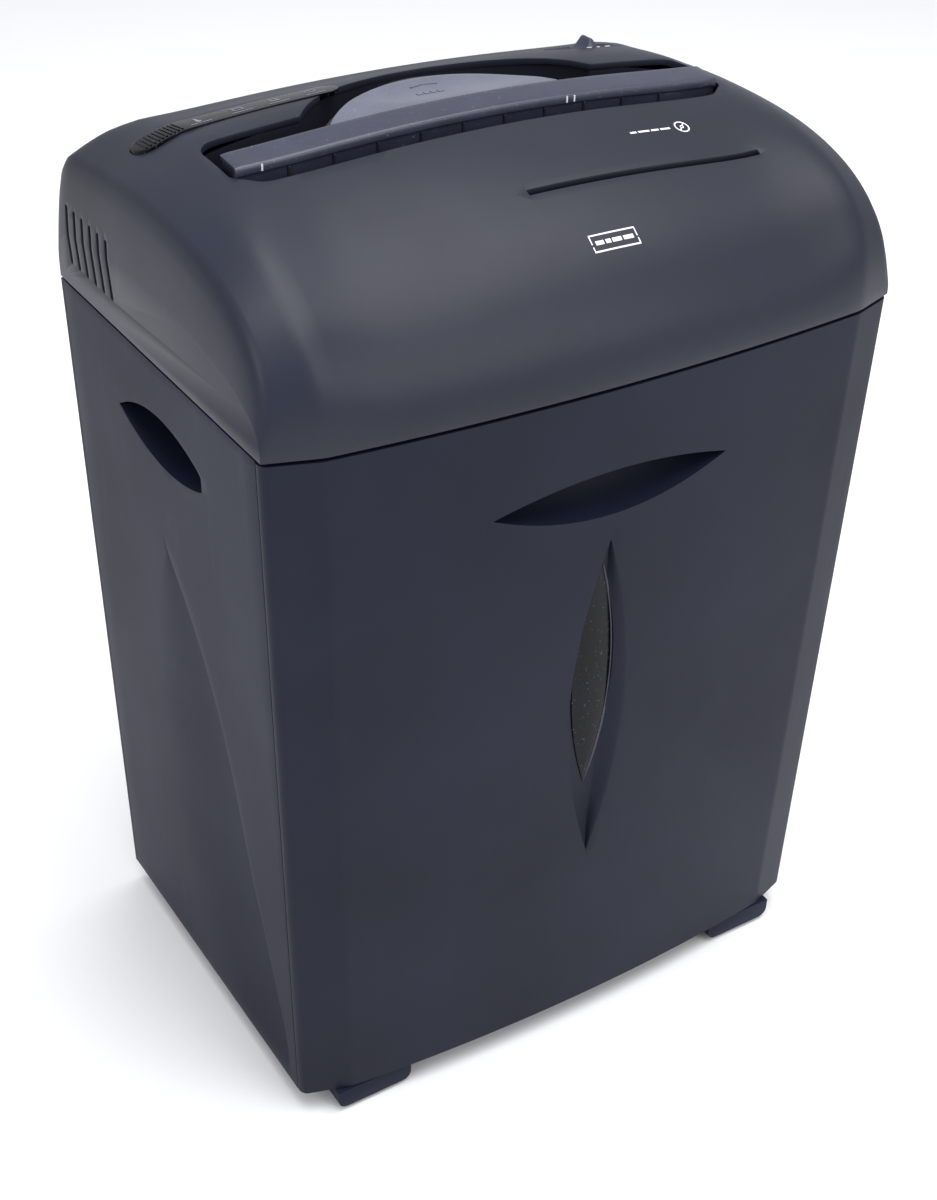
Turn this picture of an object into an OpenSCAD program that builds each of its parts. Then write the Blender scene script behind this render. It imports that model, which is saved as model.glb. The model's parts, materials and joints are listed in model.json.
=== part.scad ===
// Pull-out-bin paper shredder: a head with a hinged throat flap over a
// cross-cut block, standing on a cabinet that holds a drawer bin.
// +Z is up, the front faces -Y, the origin is under the middle of the feet.

/* [Body] */
// Width across the cabinet and head at the seam
body_w = 328; // [300:0.2:400]
// Depth from the front corner creases to the back
body_d = 212; // [200:0.2:270]
// How far the middle of the front bulges past the creases
front_bow = 7; // [3:0.5:12]
// Height of the cabinet from its underside to the seam
cabinet_h = 364; // [280:1:450]
// Height of the feet with their pads
foot_h = 14; // [8:1:20]
// How much each side leans in towards the floor
side_taper = 9; // [0:1:14]
// Width of each front corner facet
facet_w = 24; // [16:1:32]
// Depth of each front corner facet
facet_d = 8; // [4:1:12]
// Wall of the cabinet panels
panel_t = 3; // [2:0.5:4]
// How far the seam beside the bin's front is behind the corner
corner_seam = 5; // [3:0.5:8]

/* [Head] */
// Height of the head's top above the seam, at its middle
head_h = 88; // [80:1:100]
// How much the top falls from its middle to the end of the throat
crown_drop = 9; // [4:1:12]
// How much further it falls over the hips at both ends
hip_drop = 16; // [10:1:20]
// Wall of the head cover
head_t = 2.6; // [2:0.2:3.4]
// Visible gap between the head and the cabinet
seam_gap = 1.2; // [0.8:0.2:2]

/* [Throat] */
// Width of the paper throat
throat_w = 232; // [190:1:240]
// Gap that the paper goes through
throat_gap = 9; // [7:0.5:10]
// Distance of the throat's front lip behind the corner creases
lip_setback = 91.5; // [88:0.5:96]
// How far the flap's top stands above the head's top
flap_rise = 3; // [2:0.5:5]
// Swing of the flap
flap_swing = 20; // [10:1:20]
// Number of ribs on the front guide
rib_count = 11; // [5:1:15]
// Length of the disc slot
disc_slot_w = 126; // [122:1:132]
// Width of the disc slot
disc_slot_gap = 3; // [2.5:0.5:4]

/* [Cutters] */
// Diameter of a cutter disc
disc_d = 41; // [38:0.5:42]
// Distance between the two cutter shafts
shaft_gap = 38; // [37:0.5:39]
// Thickness of a cutter disc
disc_t = 3.6; // [3:0.2:4]
// Spacing of the discs along a shaft
disc_pitch = 8.4; // [8:0.2:10]
// Diameter of a cutter shaft
shaft_d = 16; // [12:1:18]
// Diameter of the shafts' journals
journal_d = 12; // [10:0.2:14.6]
// Thickness of the steel side plates
plate_t = 3; // [2:0.5:4]

/* [Gears] */
// Teeth on each of the two timing gears
timing_teeth = 19; // [17:1:21]
// Teeth on the drive gear
drive_teeth = 40; // [36:1:42]
// Teeth on the small intermediate gear and on the motor pinion
pinion_teeth = 14; // [14:1:16]
// Teeth on the large intermediate gear
large_teeth = 56; // [50:1:58]
// Diameter of the motor
motor_d = 47; // [38:0.1:48]
// Length of the motor
motor_l = 84; // [60:1:100]

/* [Bin] */
// Travel of the bin
bin_travel = 180; // [120:5:190]
// Wall of the bucket
bucket_t = 2; // [1.6:0.2:3]
// Gap round the bin front
bin_gap = 0.6; // [0.4:0.1:1]
// Width of the handle scoop
scoop_w = 126; // [100:1:140]
// Height of the front's leaf-shaped recess
leaf_h = 184; // [150:1:200]
// Width of the front's leaf-shaped recess
leaf_w = 33; // [26:1:40]

/* [Controls] */
// Length of the indicator lens
lens_w = 100; // [80:1:106]
// Depth of the indicator lens
lens_d = 17; // [12:1:20]
// Travel of the mode knob each way
knob_travel = 6; // [4:0.5:8]

/* [Hidden] */

$fn = 48;
fit = 0.3;                       // general gap between pieces that don't touch
run = 0.05;                      // radial clearance of a running fit
big = 600;                       // longer than anything here

// Places of the main faces
half_w = body_w / 2;
y_crease = -(body_d - front_bow) / 2;
y_back = y_crease + body_d;
y_corner = y_crease + facet_d;
z_floor = foot_h;
z_seam = foot_h + cabinet_h;
z_cab_top = z_seam - seam_gap / 2;
z_head = z_seam + seam_gap / 2;
z_top = z_seam + head_h;

// Throat
y_lip = y_crease + lip_setback;
y_flap = y_lip + throat_gap;
nip_offset = 4;                  // how far the paper's line is behind the lip
y_nip = y_lip + nip_offset;
flap_w = throat_w + 18;
well_w = flap_w + 5;
well_front = y_lip;
lip_w = throat_w + 6;
well_step = y_lip + 44;
well_back = y_lip + 81;
scoop_half = 77;
scoop_r = (scoop_half ^ 2 + (well_back - well_step - 4) ^ 2) / (2 * (well_back - well_step - 4));
z_well = z_top - 26;
well_t = 2;
ramp_y = well_step + 13;
ramp_top = z_top - 8;
z_flap_top = z_top + flap_rise;
flap_t = 2.2;
flap_strip = 15;
flap_y = y_flap + 11;            // the flap's hinge axis
flap_z = z_well + 7;
flap_pin_r = 1.6;
tab_w = 118;
tab_d = 30;
tab_x = -14;

// Disc slot and its chute
slot_x = throat_w / 2 - 5 - disc_slot_w / 2;
slot_y = y_lip - 42;
ledge = 2.5;                     // how far the front guide's ledge stands into the throat
chute_tilt = 42;
chute_t = 1.6;

// Sensor lever
lever_x = throat_w / 2 - 11;
lever_w = 8;
lever_y = y_lip - 15;
lever_z = z_top - 21.5;
lever_pin_r = 1.5;

// Cutter block
z_cut = z_head + 23.4;
y_front_shaft = y_nip - shaft_gap / 2;
y_rear_shaft = y_nip + shaft_gap / 2;
disc_n = floor((throat_w + 2) / disc_pitch);
disc_span = disc_n * disc_pitch;
plate_x = throat_w / 2 + 2;      // inner face of each side plate
plate_front = y_front_shaft - disc_d / 2 - 10;
plate_rear = y_rear_shaft + disc_d / 2 + 10;
plate_top = z_well - 5;
bush_r = journal_d / 2 + 2.5;
bush_flange = 1;
rod_r = 3;
guide_foot = z_cut + disc_d / 2 + 1.5;

// Gear train, in layers outwards from the right side plate
gear_module = 1.25;
fine_module = 0.9;
timing_module = shaft_gap / timing_teeth;
backlash = 0.25;
gear_w = 8;
layer_gap = 1.6;
layer_1 = plate_x + plate_t + bush_flange + 1.2;
layer_2 = layer_1 + gear_w + layer_gap;
layer_3 = layer_2 + gear_w + layer_gap;
fine_w = 6;
gear_plate_x = layer_3 + fine_w + 1.6;
gear_plate_t = 2;
mesh_1 = 20;                     // direction from the rear shaft to the intermediate gear
mesh_2 = -18;                    // direction from the intermediate gear to the motor
y_inter = y_rear_shaft + gear_module * (drive_teeth + pinion_teeth) / 2 * cos(mesh_1);
z_inter = z_cut + gear_module * (drive_teeth + pinion_teeth) / 2 * sin(mesh_1);
y_motor = y_inter + fine_module * (large_teeth + pinion_teeth) / 2 * cos(mesh_2);
z_motor = z_inter + fine_module * (large_teeth + pinion_teeth) / 2 * sin(mesh_2);
inter_pin_r = 3;
motor_shaft_r = 3;
motor_x = plate_x - 4;           // right end of the motor
flat = 2.5;                      // wall of the motor can and the plastic frames

// Controls
lens_x = -half_w + 20 + lens_w / 2;
lens_y = y_crease + 163;
knob_x = half_w - 58;
knob_y = y_crease + 179;
dish_w = 48;
dish_d = 15;

// Cabinet and bin
bin_top = z_cab_top - 0.5;
scoop_z = z_seam - 49;
scoop_up = 8.5;
scoop_down = 14;
scoop_depth = 24;
leaf_z = z_seam - 168;           // middle of the leaf-shaped recess
y_bow = y_crease - front_bow;     // foremost plane of the front
leaf_depth = 5;
leaf_floor = y_bow + leaf_depth;
window_h = 132;
window_w = 22;
window_x = -2;
window_z = leaf_z + 16;
grip_z = z_seam - 40;            // middle of each carry-handle pocket
grip_w = 94;
grip_h = 25;
grip_depth = 16;
grip_y = y_crease + 107;
runner_w = 6;
runner_h = 10;
bucket_side = half_w - side_taper - panel_t - runner_w - 2;
bucket_front = y_corner + 3;
bucket_wall = y_crease + 30;       // outer face of the bucket's front wall
flange_t = 5;                    // rear flange of each side panel
bucket_back = y_back - panel_t - flange_t - 2;
bucket_floor = z_floor + panel_t + 3;
bucket_top = z_seam - 30;
screw_r = 1.5;
screw_head_r = 3;
screw_head_h = 1.6;
foot_w = 42;
foot_l = 34;
foot_x = half_w - side_taper - 16 - foot_w / 2;
pad_t = 2.5;

// ---------- shared outlines ----------

// Points of a plan outline with facets at the front corners and a bowed front
function front_arc(w, inset) = [for (i = [-6:6])
    let (x = i / 6 * (w - facet_w))
    [x, y_crease + inset - front_bow * (1 - (i / 6) ^ 2)]];
function plan_points(w, inset, back) = concat(
    [[-w + inset, back], [-w + inset, y_corner + inset * 0.6]],
    [for (p = front_arc(w, inset)) [p.x * (w - inset) / w, p.y]],
    [[w - inset, y_corner + inset * 0.6], [w - inset, back]]);

// A tapering block with the cabinet's plan, inset all round
module cabinet_block(inset, low, high, back) {
    function wide(z) = half_w - side_taper * (z_seam - z) / cabinet_h;
    hull() {
        translate([0, 0, low]) linear_extrude(0.01) polygon(plan_points(wide(low), inset, back));
        translate([0, 0, high - 0.01]) linear_extrude(0.01)
            polygon(plan_points(wide(high), inset, back));
    }
}

// Side profile of the head at a distance x from its middle
function share(x) = min(1, abs(x) / (half_w - facet_w));
hip_start = half_w - 44;
shoulder = half_w - 6;
function slice_top(x) = (head_h - crown_drop * share(x) ^ 2
    - hip_drop * (max(0, abs(x) - hip_start) / (half_w - hip_start)) ^ 1.7)
    * (1 - 0.5 * (max(0, abs(x) - shoulder) / (half_w - shoulder)) ^ 2);
function slice_front(x) = abs(x) <= half_w - facet_w ? -front_bow * (1 - share(x) ^ 2)
    : facet_d * (abs(x) - half_w + facet_w) / facet_w;
function slice_power(x) = 2 + 0.6 * share(x) ^ 8;
front_reach = 150;               // depth over which the front curve rises
ridge_y = 168;                   // where the top's slope begins, behind the creases
rear_round = 17;                 // radius of the rear top edge
function slice_reach(x) = front_reach - 25 * share(x) ^ 8;
function slice_fall(x) = 11.5 - 2 * share(x) ^ 2 - 4 * share(x) ^ 8;
// Height of the front curve above the seam, at a place in plan
function front_height(x, y) = slice_top(x)
    * (1 - max(0, 1 - (y - y_crease - slice_front(x)) / slice_reach(x)) ^ slice_power(x)) ^ (1 / slice_power(x));
function slice_points(x, inset) =
    let (front = y_crease + slice_front(x) + inset, top = slice_top(x) - inset,
         reach = slice_reach(x) - inset, n = slice_power(x), back = y_back - inset,
         fall = slice_fall(x))
    concat(
        [for (a = [0:5:90]) [front + reach * (1 - cos(a) ^ (2 / n)), top * sin(a) ^ (2 / n)]],
        [[y_crease + ridge_y, top - fall / 4], [back - rear_round, top - fall]],
        [for (a = [72:-18:0]) [back - rear_round * (1 - cos(a)), top - fall - rear_round * (1 - sin(a))]],
        [[back, 0]]);
slice_t = 1;
slice_stops = [-1, -0.985, -0.955, -0.92, -0.86, -0.6, -0.3, 0, 0.3, 0.6, 0.86, 0.92, 0.955, 0.985, 1];

// The head's outer form as a closed solid, inset all round
module head_form(inset, low = z_head) {
    hull() for (s = slice_stops) {
        translate([s * (half_w - inset - slice_t / 2) - slice_t / 2, 0, low])
            rotate([90, 0, 90]) linear_extrude(slice_t) polygon(slice_points(s * half_w, inset));
    }
}

// Rectangle with round corners
module round_rect(w, d, r) {
    square([w - 2 * r, d], center = true);
    square([w, d - 2 * r], center = true);
    for (i = [-1, 1], j = [-1, 1]) translate([i * (w / 2 - r), j * (d / 2 - r)]) circle(r);
}

// The opening over the throat and the finger well
module well_outline(grow) {
    translate([0, (y_flap + well_step) / 2])
        round_rect(well_w + 2 * grow, well_step - y_flap + 2 * grow, 9 + grow);
    polygon([[-well_w / 2 - grow, y_flap + 12], [-well_w / 2 - grow, y_flap], [-lip_w / 2 - grow, well_front - grow],
        [lip_w / 2 + grow, well_front - grow], [well_w / 2 + grow, y_flap], [well_w / 2 + grow, y_flap + 12]]);
    intersection() {
        translate([0, well_back - scoop_r]) circle(scoop_r + grow, $fn = 160);
        translate([-scoop_half - grow, well_step - 12]) square([2 * (scoop_half + grow), 100]);
    }
}

// Shape between two arcs that meet at its tips, w wide, reaching up and down
module lens_shape(w, up, down) {
    function radius(rise) = (w * w / 4 + rise * rise) / (2 * rise);
    intersection() {
        translate([0, up - radius(up)]) circle(radius(up), $fn = 160);
        translate([0, radius(down) - down]) circle(radius(down), $fn = 160);
    }
}

// Extrudes a Y-Z outline along X, from x for a length
module along_x(x, length) {
    translate([x, 0, 0]) rotate([90, 0, 90]) linear_extrude(length) children();
}

// Extrudes an X-Z outline along +Y, from y for a length
module along_y(y, length) {
    translate([0, y + length, 0]) rotate([90, 0, 0]) linear_extrude(length) children();
}

module rod_x(x, length, r, y, z) {
    translate([x, y, z]) rotate([0, 90, 0]) cylinder(h = length, r = r);
}

// Involute gear lying in the Y-Z plane with one tooth pointing along phase
function roll(rb, q) = sqrt((q / rb) ^ 2 - 1) * 180 / PI - acos(rb / q);
function gear_points(teeth, m, phase) =
    let (r = teeth * m / 2, rb = r * cos(20), ra = r + 0.8 * m, rf = r - 1.1 * m,
         half = 90 / teeth - backlash / 2 / r * 180 / PI, start = max(rb, rf) + 0.001,
         rise = [for (i = [0:4]) start + (ra - start) * i / 4])
    [for (k = [0:teeth - 1]) let (c = phase + k * 360 / teeth) each concat(
        [rf * [cos(c - half - roll(rb, r)), sin(c - half - roll(rb, r))]],
        [for (q = rise) let (h = half + roll(rb, r) - roll(rb, q)) q * [cos(c - h), sin(c - h)]],
        [for (i = [4:-1:0]) let (q = rise[i], h = half + roll(rb, r) - roll(rb, q))
            q * [cos(c + h), sin(c + h)]],
        [rf * [cos(c + half + roll(rb, r)), sin(c + half + roll(rb, r))]])];
module gear(teeth, m, phase, x, w, y, z, bore_r) {
    translate([0, y, z]) along_x(x, w) difference() {
        polygon(gear_points(teeth, m, phase));
        circle(bore_r);
    }
}

// ---------- head ----------

module vent_slots() {
    for (side = [-1, 1], i = [0:5])
        translate([side * half_w, y_back - 15 - 9.1 * i, z_seam + 26]) rotate([-10, 0, 0])
            cube([16, 2.8, 27], center = true);
}

module boss_places() {
    for (i = [-1, 1], y = [y_crease + 30, y_back - 16]) translate([i * (half_w - 16), y, 0]) children();
}

module dish_place() {
    translate([knob_x, knob_y, knob_z - 1.6]) rotate([-3, 4, 0]) children();
}

// Height of the head's top above the seam, behind the front curve
function rear_height(x, y) = let (d = y - y_crease) slice_top(x) - slice_fall(x) * (d < ridge_y
    ? 0.25 * (d - front_reach) / (ridge_y - front_reach)
    : 0.25 + 0.75 * (d - ridge_y) / (body_d - rear_round - ridge_y));
knob_z = z_seam + rear_height(knob_x, knob_y);
lens_z = z_seam + rear_height(lens_x, lens_y);

module head_cover() color([0.165, 0.18, 0.235]) {
    difference() {
        head_form(0);
        head_form(head_t, z_head - 0.02);
        translate([0, 0, z_well - 6]) linear_extrude(60) well_outline(0);
        // disc slot
        translate([slot_x, slot_y, z_top - 40]) linear_extrude(50)
            square([disc_slot_w, disc_slot_gap], center = true);
        // pocket for the indicator lens
        translate([lens_x, lens_y, z_top - 40]) linear_extrude(60)
            round_rect(lens_w + 0.3, lens_d + 0.3, lens_d / 2 - 1);
        dish_place() linear_extrude(10) round_rect(dish_w, dish_d, dish_d / 2 - 0.5);
        dish_place() translate([0, 0, -8]) linear_extrude(10)
            square([2 * knob_travel + 8, 5], center = true);
        vent_slots();
        gland_place() cylinder(h = 30, r = gland_r + run, center = true);
    }
    difference() {
        intersection() {
            boss_places() translate([0, 0, z_head]) cylinder(h = head_h, r = 4);
            head_form(head_t - 0.4);
        }
        boss_places() translate([0, 0, z_head - 1]) cylinder(h = 22, r = screw_r - 0.1);
    }
}

module control_lens() color([0.05, 0.055, 0.07]) {
    difference() {
        intersection() {
            head_form(0);
            translate([lens_x, lens_y, z_top - 40]) linear_extrude(60)
                round_rect(lens_w, lens_d, lens_d / 2 - 1.15);
        }
        head_form(head_t);
    }
}

module indicator_board() color("darkgreen") {
    translate([lens_x - lens_w / 2 + 5, lens_y - 4, lens_z - 14])
        cube([lens_w - 19, 13, 1.6]);
}

module indicator_lamps() color("white") {
    for (i = [0:3]) translate([lens_x - 17 + 16 * i, lens_y, lens_z - 12.4])
        cylinder(h = 3, r = 1.5);
}

module mode_switch() color("black") {
    translate([knob_x, knob_y, knob_z - 14]) difference() {
        translate([-16, -6, 0]) cube([32, 12, 8]);
        translate([-knob_travel - 3, -2.2, 3]) cube([2 * knob_travel + 6, 4.4, 6]);
    }
}

module mode_knob() color([0.2, 0.215, 0.26]) {
    translate([knob_x, knob_y, knob_z - 0.9]) {
        along_y(-6, 12) polygon([[-6.5, 0.4], [6.5, 0.4], [2, 2.6], [0.9, 6.4], [-0.9, 6.4], [-2, 2.6]]);
        translate([-2.6, -2, -9]) cube([5.2, 4, 9.6]);
    }
}

// ---------- throat ----------

module throat_front_guide() color([0.14, 0.15, 0.19]) {
    difference() {
        intersection() {
            union() {
                translate([-throat_w / 2 - 2, y_lip - 2.2, guide_foot]) cube([throat_w + 4, 2.2, head_h]);
                translate([-throat_w / 2 - 2, y_lip - 2.2, z_well - 2]) cube([throat_w + 4, 2.2 + ledge, head_h]);
            }
            head_form(head_t + 0.4);
        }
        for (i = [0:rib_count - 1])
            translate([-throat_w / 2 + 4 + i * (throat_w - 24) / (rib_count - 1), y_lip + 0.3, z_well])
                cube([2, ledge, head_h]);
        translate([lever_x - lever_w / 2 - 1, y_lip - 5, lever_z - 12]) cube([lever_w + 2, 10, 40]);
    }
}

module throat_rear_guide() color([0.14, 0.15, 0.19]) {
    translate([-throat_w / 2 - 2, y_flap + 0.5, guide_foot]) cube([throat_w + 4, 2, z_well - well_t - guide_foot]);
}

module well_floor_cut() {
    // side view of the hollow: a flat floor, then a ramp to the back edge
    along_x(-half_w, body_w) polygon([[well_front - 5, z_well], [ramp_y, z_well],
        [well_back, ramp_top], [well_back + 20, ramp_top + 8], [well_back + 20, z_top + 40],
        [well_front - 5, z_top + 40]]);
}

module finger_well() color([0.13, 0.14, 0.18]) {
    difference() {
        intersection() {
            translate([0, 0, z_well - well_t]) linear_extrude(60) well_outline(well_t);
            head_form(head_t + 0.2);
        }
        intersection() {
            translate([0, 0, z_well - 10]) linear_extrude(80) well_outline(0);
            well_floor_cut();
        }
        // the paper path and the room in front of the flap
        translate([-half_w, y_lip - 20, z_well - 20]) cube([body_w, 20 + throat_gap + 0.5, 80]);
        rod_x(-half_w, body_w, flap_pin_r + run, flap_y, flap_z);
    }
}

module throat_flap() color([0.24, 0.25, 0.3]) {
    difference() {
        intersection() {
            head_form(-flap_rise);
            union() {
                translate([-flap_w / 2, y_flap, z_well + 4]) cube([flap_w, flap_t, 40]);
                difference() {
                    translate([-flap_w / 2, y_flap, z_well + 4]) cube([flap_w, flap_strip, 40]);
                    head_form(flap_t - flap_rise);
                }
                for (i = [-1, 1]) along_x(i * (flap_w / 2 - 4) - 4, 8) polygon([
                    [y_flap, z_well + 4], [flap_y + 4, flap_z - 3], [flap_y + 4, z_flap_top],
                    [y_flap, z_flap_top]]);
            }
        }
        rod_x(-half_w, body_w, flap_pin_r, flap_y, flap_z);
    }
}

module flap_tab() color([0.45, 0.46, 0.52]) {
    // smoked crescent that lies on the back of the flap's top strip
    difference() {
        intersection() {
            translate([tab_x, y_flap + flap_strip, z_well]) linear_extrude(40) intersection() {
                lens_shape(tab_w, tab_d, 12);
                translate([-tab_w, 0]) square([2 * tab_w, tab_d + 5]);
            }
            head_form(-flap_rise);
        }
        head_form(1.8 - flap_rise);
    }
}

module flap_pins() color("silver") {
    for (i = [-1, 1]) rod_x(i * (well_w / 2 - 1) - 6, 12, flap_pin_r, flap_y, flap_z);
}

module sensor_lever() color([0.72, 0.72, 0.7]) {
    difference() {
        union() {
            rod_x(lever_x - lever_w / 2, lever_w, 3.4, lever_y, lever_z);
            along_x(lever_x - lever_w / 2, lever_w) polygon([[lever_y - 2, lever_z + 1], [lever_y, lever_z - 2.4],
                [y_lip + 2.5, lever_z + 3], [y_lip + 4, lever_z + 7.5], [y_lip + 0.5, lever_z + 8.5]]);
        }
        rod_x(lever_x - 10, 20, lever_pin_r + run, lever_y, lever_z);
    }
}

module sensor_pin() color("silver") {
    rod_x(lever_x - lever_w / 2 - 5, lever_w + 10, lever_pin_r, lever_y, lever_z);
}

slot_z = z_seam + front_height(slot_x, slot_y);
module disc_chute() color([0.14, 0.15, 0.19]) {
    difference() {
        translate([slot_x, slot_y, slot_z]) rotate([chute_tilt, 0, 0])
            translate([0, 0, -24]) linear_extrude(18) difference() {
                square([disc_slot_w + 4, disc_slot_gap + 2 * chute_t + 1], center = true);
                square([disc_slot_w + 0.5, disc_slot_gap + 1], center = true);
            }
        translate([-half_w, y_lip - 2.5, z_seam]) cube([body_w, 20, 100]);
    }
}

// ---------- cutter block ----------

module cutter_plate(side) {
    x = side > 0 ? plate_x : -plate_x - plate_t;
    difference() {
        translate([x, plate_front, z_head]) cube([plate_t, plate_rear - plate_front, plate_top - z_head]);
        for (y = [y_front_shaft, y_rear_shaft]) rod_x(x - 1, plate_t + 2, bush_r, y, z_cut);
        rod_places(x - 1, plate_t + 2, rod_r);
        if (side > 0) rod_x(x - 1, plate_t + 2, inter_pin_r, y_inter, z_inter);
    }
}

module rod_places(x, length, r) {
    for (y = [plate_front + 5, plate_rear - 5], z = [z_head + 6, plate_top - 6]) rod_x(x, length, r, y, z);
}

module cutter_plate_left() color("silver") cutter_plate(-1);

module cutter_plate_right() color("silver") difference() {
    union() {
        cutter_plate(1);
        // tongue that carries the motor's end and the intermediate axle
        difference() {
            translate([plate_x, plate_rear - 1, z_head + 1])
                cube([plate_t, y_motor + motor_d / 2 - plate_rear + 1, plate_top - z_head - 1]);
            rod_x(plate_x - 1, plate_t + 2, motor_shaft_r + 4, y_motor, z_motor);
        }
    }
    rod_x(plate_x - 1, plate_t + 2, inter_pin_r, y_inter, z_inter);
    rod_places(plate_x - 1, plate_t + 2, rod_r);
}

module cutter_tie_rods() color("dimgray") {
    rod_places(-plate_x - plate_t, 2 * (plate_x + plate_t), rod_r);
    rod_places(-plate_x - plate_t - 2, 2, rod_r + 2);
    rod_places(plate_x + plate_t, 2, rod_r + 2);
}

module cutter_bearings() color("darkgoldenrod") {
    for (side = [-1, 1], y = [y_front_shaft, y_rear_shaft]) {
        x = side > 0 ? plate_x : -plate_x - plate_t;
        translate([x, y, z_cut]) rotate([0, 90, 0]) difference() {
            union() {
                cylinder(h = plate_t, r = bush_r);
                translate([0, 0, side > 0 ? plate_t : -bush_flange]) cylinder(h = bush_flange, r = bush_r + 1.5);
            }
            translate([0, 0, -5]) cylinder(h = plate_t + 10, r = journal_d / 2 + run);
        }
    }
}

module cutter_shaft(y, right) {
    rod_x(-plate_x + 0.6, 2 * plate_x - 1.2, shaft_d / 2, y, z_cut);
    rod_x(-plate_x - plate_t - 4, plate_x + plate_t + 4 + right, journal_d / 2, y, z_cut);
}

module cutter_shaft_front() color("gray") cutter_shaft(y_front_shaft, layer_1 + gear_w + 0.5);
module cutter_shaft_rear() color("gray") cutter_shaft(y_rear_shaft, layer_2 + gear_w + 0.5);

// A row of hooked discs; rows on the two shafts sit half a pitch apart
module disc_row(y, start) {
    hooks = 6;
    translate([0, y, z_cut]) for (i = [0:disc_n - 2])
        along_x(start + i * disc_pitch, disc_t) difference() {
            circle(disc_d / 2, $fn = 60);
            circle(shaft_d / 2);
            for (k = [0:hooks - 1]) rotate(k * 360 / hooks + i * 11)
                translate([disc_d / 2 - 2.2, 0]) polygon([[0, 0], [4, -0.6], [4, 3.4], [1.4, 2.2]]);
        }
}
disc_start = (disc_pitch - disc_span - disc_t) / 2;
module cutter_discs_front() color("dimgray") disc_row(y_front_shaft, disc_start);
module cutter_discs_rear() color("dimgray") disc_row(y_rear_shaft, disc_start + disc_pitch / 2);

// Comb whose teeth reach between the discs of one row
module stripper(y, start, side) {
    bar_y = y + side * (disc_d / 2 + 3.5);
    translate([-plate_x, bar_y - 2, z_cut - 9]) cube([2 * plate_x, 4, 18]);
    for (i = [0:disc_n - 3])
        translate([start + disc_t + 0.7 + i * disc_pitch, min(bar_y, y + side * (shaft_d / 2 + 1.2)), z_cut - 7])
            cube([disc_pitch - disc_t - 1.4, abs(bar_y - y) - shaft_d / 2 - 1.2, 14]);
}
module stripper_front() color([0.16, 0.16, 0.17]) stripper(y_front_shaft, disc_start, -1);
module stripper_rear() color([0.16, 0.16, 0.17]) stripper(y_rear_shaft, disc_start + disc_pitch / 2, 1);

// ---------- gears and motor ----------

module timing_gear_front() color("gray")
    gear(timing_teeth, timing_module, 180 / timing_teeth, layer_1, gear_w, y_front_shaft, z_cut, journal_d / 2);
module timing_gear_rear() color("gray")
    gear(timing_teeth, timing_module, 180, layer_1, gear_w, y_rear_shaft, z_cut, journal_d / 2);
module drive_gear() color("gray")
    gear(drive_teeth, gear_module, mesh_1, layer_2, gear_w, y_rear_shaft, z_cut, journal_d / 2);

module intermediate_gear() color("ivory") {
    gear(pinion_teeth, gear_module, mesh_1 + 180 + 180 / pinion_teeth, layer_2 - 0.6, gear_w + layer_gap + 0.7,
        y_inter, z_inter, inter_pin_r + run);
    gear(large_teeth, fine_module, mesh_2, layer_3, fine_w, y_inter, z_inter, inter_pin_r + run);
}

module intermediate_axle() color("silver")
    rod_x(plate_x, gear_plate_x + gear_plate_t - plate_x, inter_pin_r, y_inter, z_inter);

module motor_pinion() color("goldenrod")
    gear(pinion_teeth, fine_module, mesh_2 + 180 + 180 / pinion_teeth, layer_3, fine_w, y_motor, z_motor, motor_shaft_r);

module gear_plate() color("silver") difference() {
    union() {
        translate([gear_plate_x, y_inter - 26, z_head + 4])
            cube([gear_plate_t, y_motor - y_inter + 40, z_inter + 12 - z_head - 4]);
        translate([plate_x + plate_t, y_motor + 10, z_head + 4]) cube([gear_plate_x - plate_x - plate_t, 4, 12]);
    }
    rod_x(gear_plate_x - 1, gear_plate_t + 2, inter_pin_r, y_inter, z_inter);
    rod_x(gear_plate_x - 1, gear_plate_t + 2, motor_shaft_r + run, y_motor, z_motor);
}

module motor_can() color([0.45, 0.45, 0.47]) translate([motor_x - motor_l, y_motor, z_motor]) rotate([0, 90, 0])
    difference() {
        cylinder(h = motor_l, r = motor_d / 2);
        translate([0, 0, flat]) cylinder(h = motor_l - 2 * flat, r = motor_d / 2 - flat);
        translate([0, 0, -1]) cylinder(h = motor_l + 2, r = motor_shaft_r + run);
    }

module motor_armature() color("peru") {
    rod_x(motor_x - motor_l - 16, gear_plate_x + gear_plate_t - motor_x + motor_l + 16, motor_shaft_r, y_motor, z_motor);
    rod_x(motor_x - motor_l + 14, motor_l - 28, motor_d / 2 - flat - 3, y_motor, z_motor);
}

module motor_fan() color("black") translate([motor_x - motor_l - 14, y_motor, z_motor]) rotate([0, 90, 0]) {
    difference() {
        cylinder(h = 9, r = 7);
        translate([0, 0, -1]) cylinder(h = 11, r = motor_shaft_r);
    }
    for (k = [0:7]) rotate(k * 45) translate([6, -0.8, 0]) cube([motor_d / 2 - 8, 1.6, 9]);
}

module motor_bracket() color("silver") difference() {
    translate([motor_x - motor_l / 2 - 12, y_motor - motor_d / 2 - 4, z_head]) cube([24, motor_d + 8, motor_d / 2 - 2]);
    rod_x(motor_x - motor_l, motor_l, motor_d / 2, y_motor, z_motor);
}

module thermal_cutout() color("ivory")
    translate([motor_x - motor_l / 2 - 5, y_motor - 4, z_motor + motor_d / 2 - 0.4]) difference() {
        cube([10, 8, 4]);
        rod_x(-motor_l, 2 * motor_l, motor_d / 2, 4, -motor_d / 2 + 0.4);
    }

// ---------- electrics ----------

board_x = -half_w + 40;
board_y = y_rear_shaft + disc_d / 2 + 14;
module main_board() color("darkgreen") translate([board_x, board_y, z_head + 6]) difference() {
    cube([88, 50, 1.6]);
    for (x = [4, 84], y = [4, 46]) translate([x, y, -1]) cylinder(h = 4, r = 1.6);
}

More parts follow.
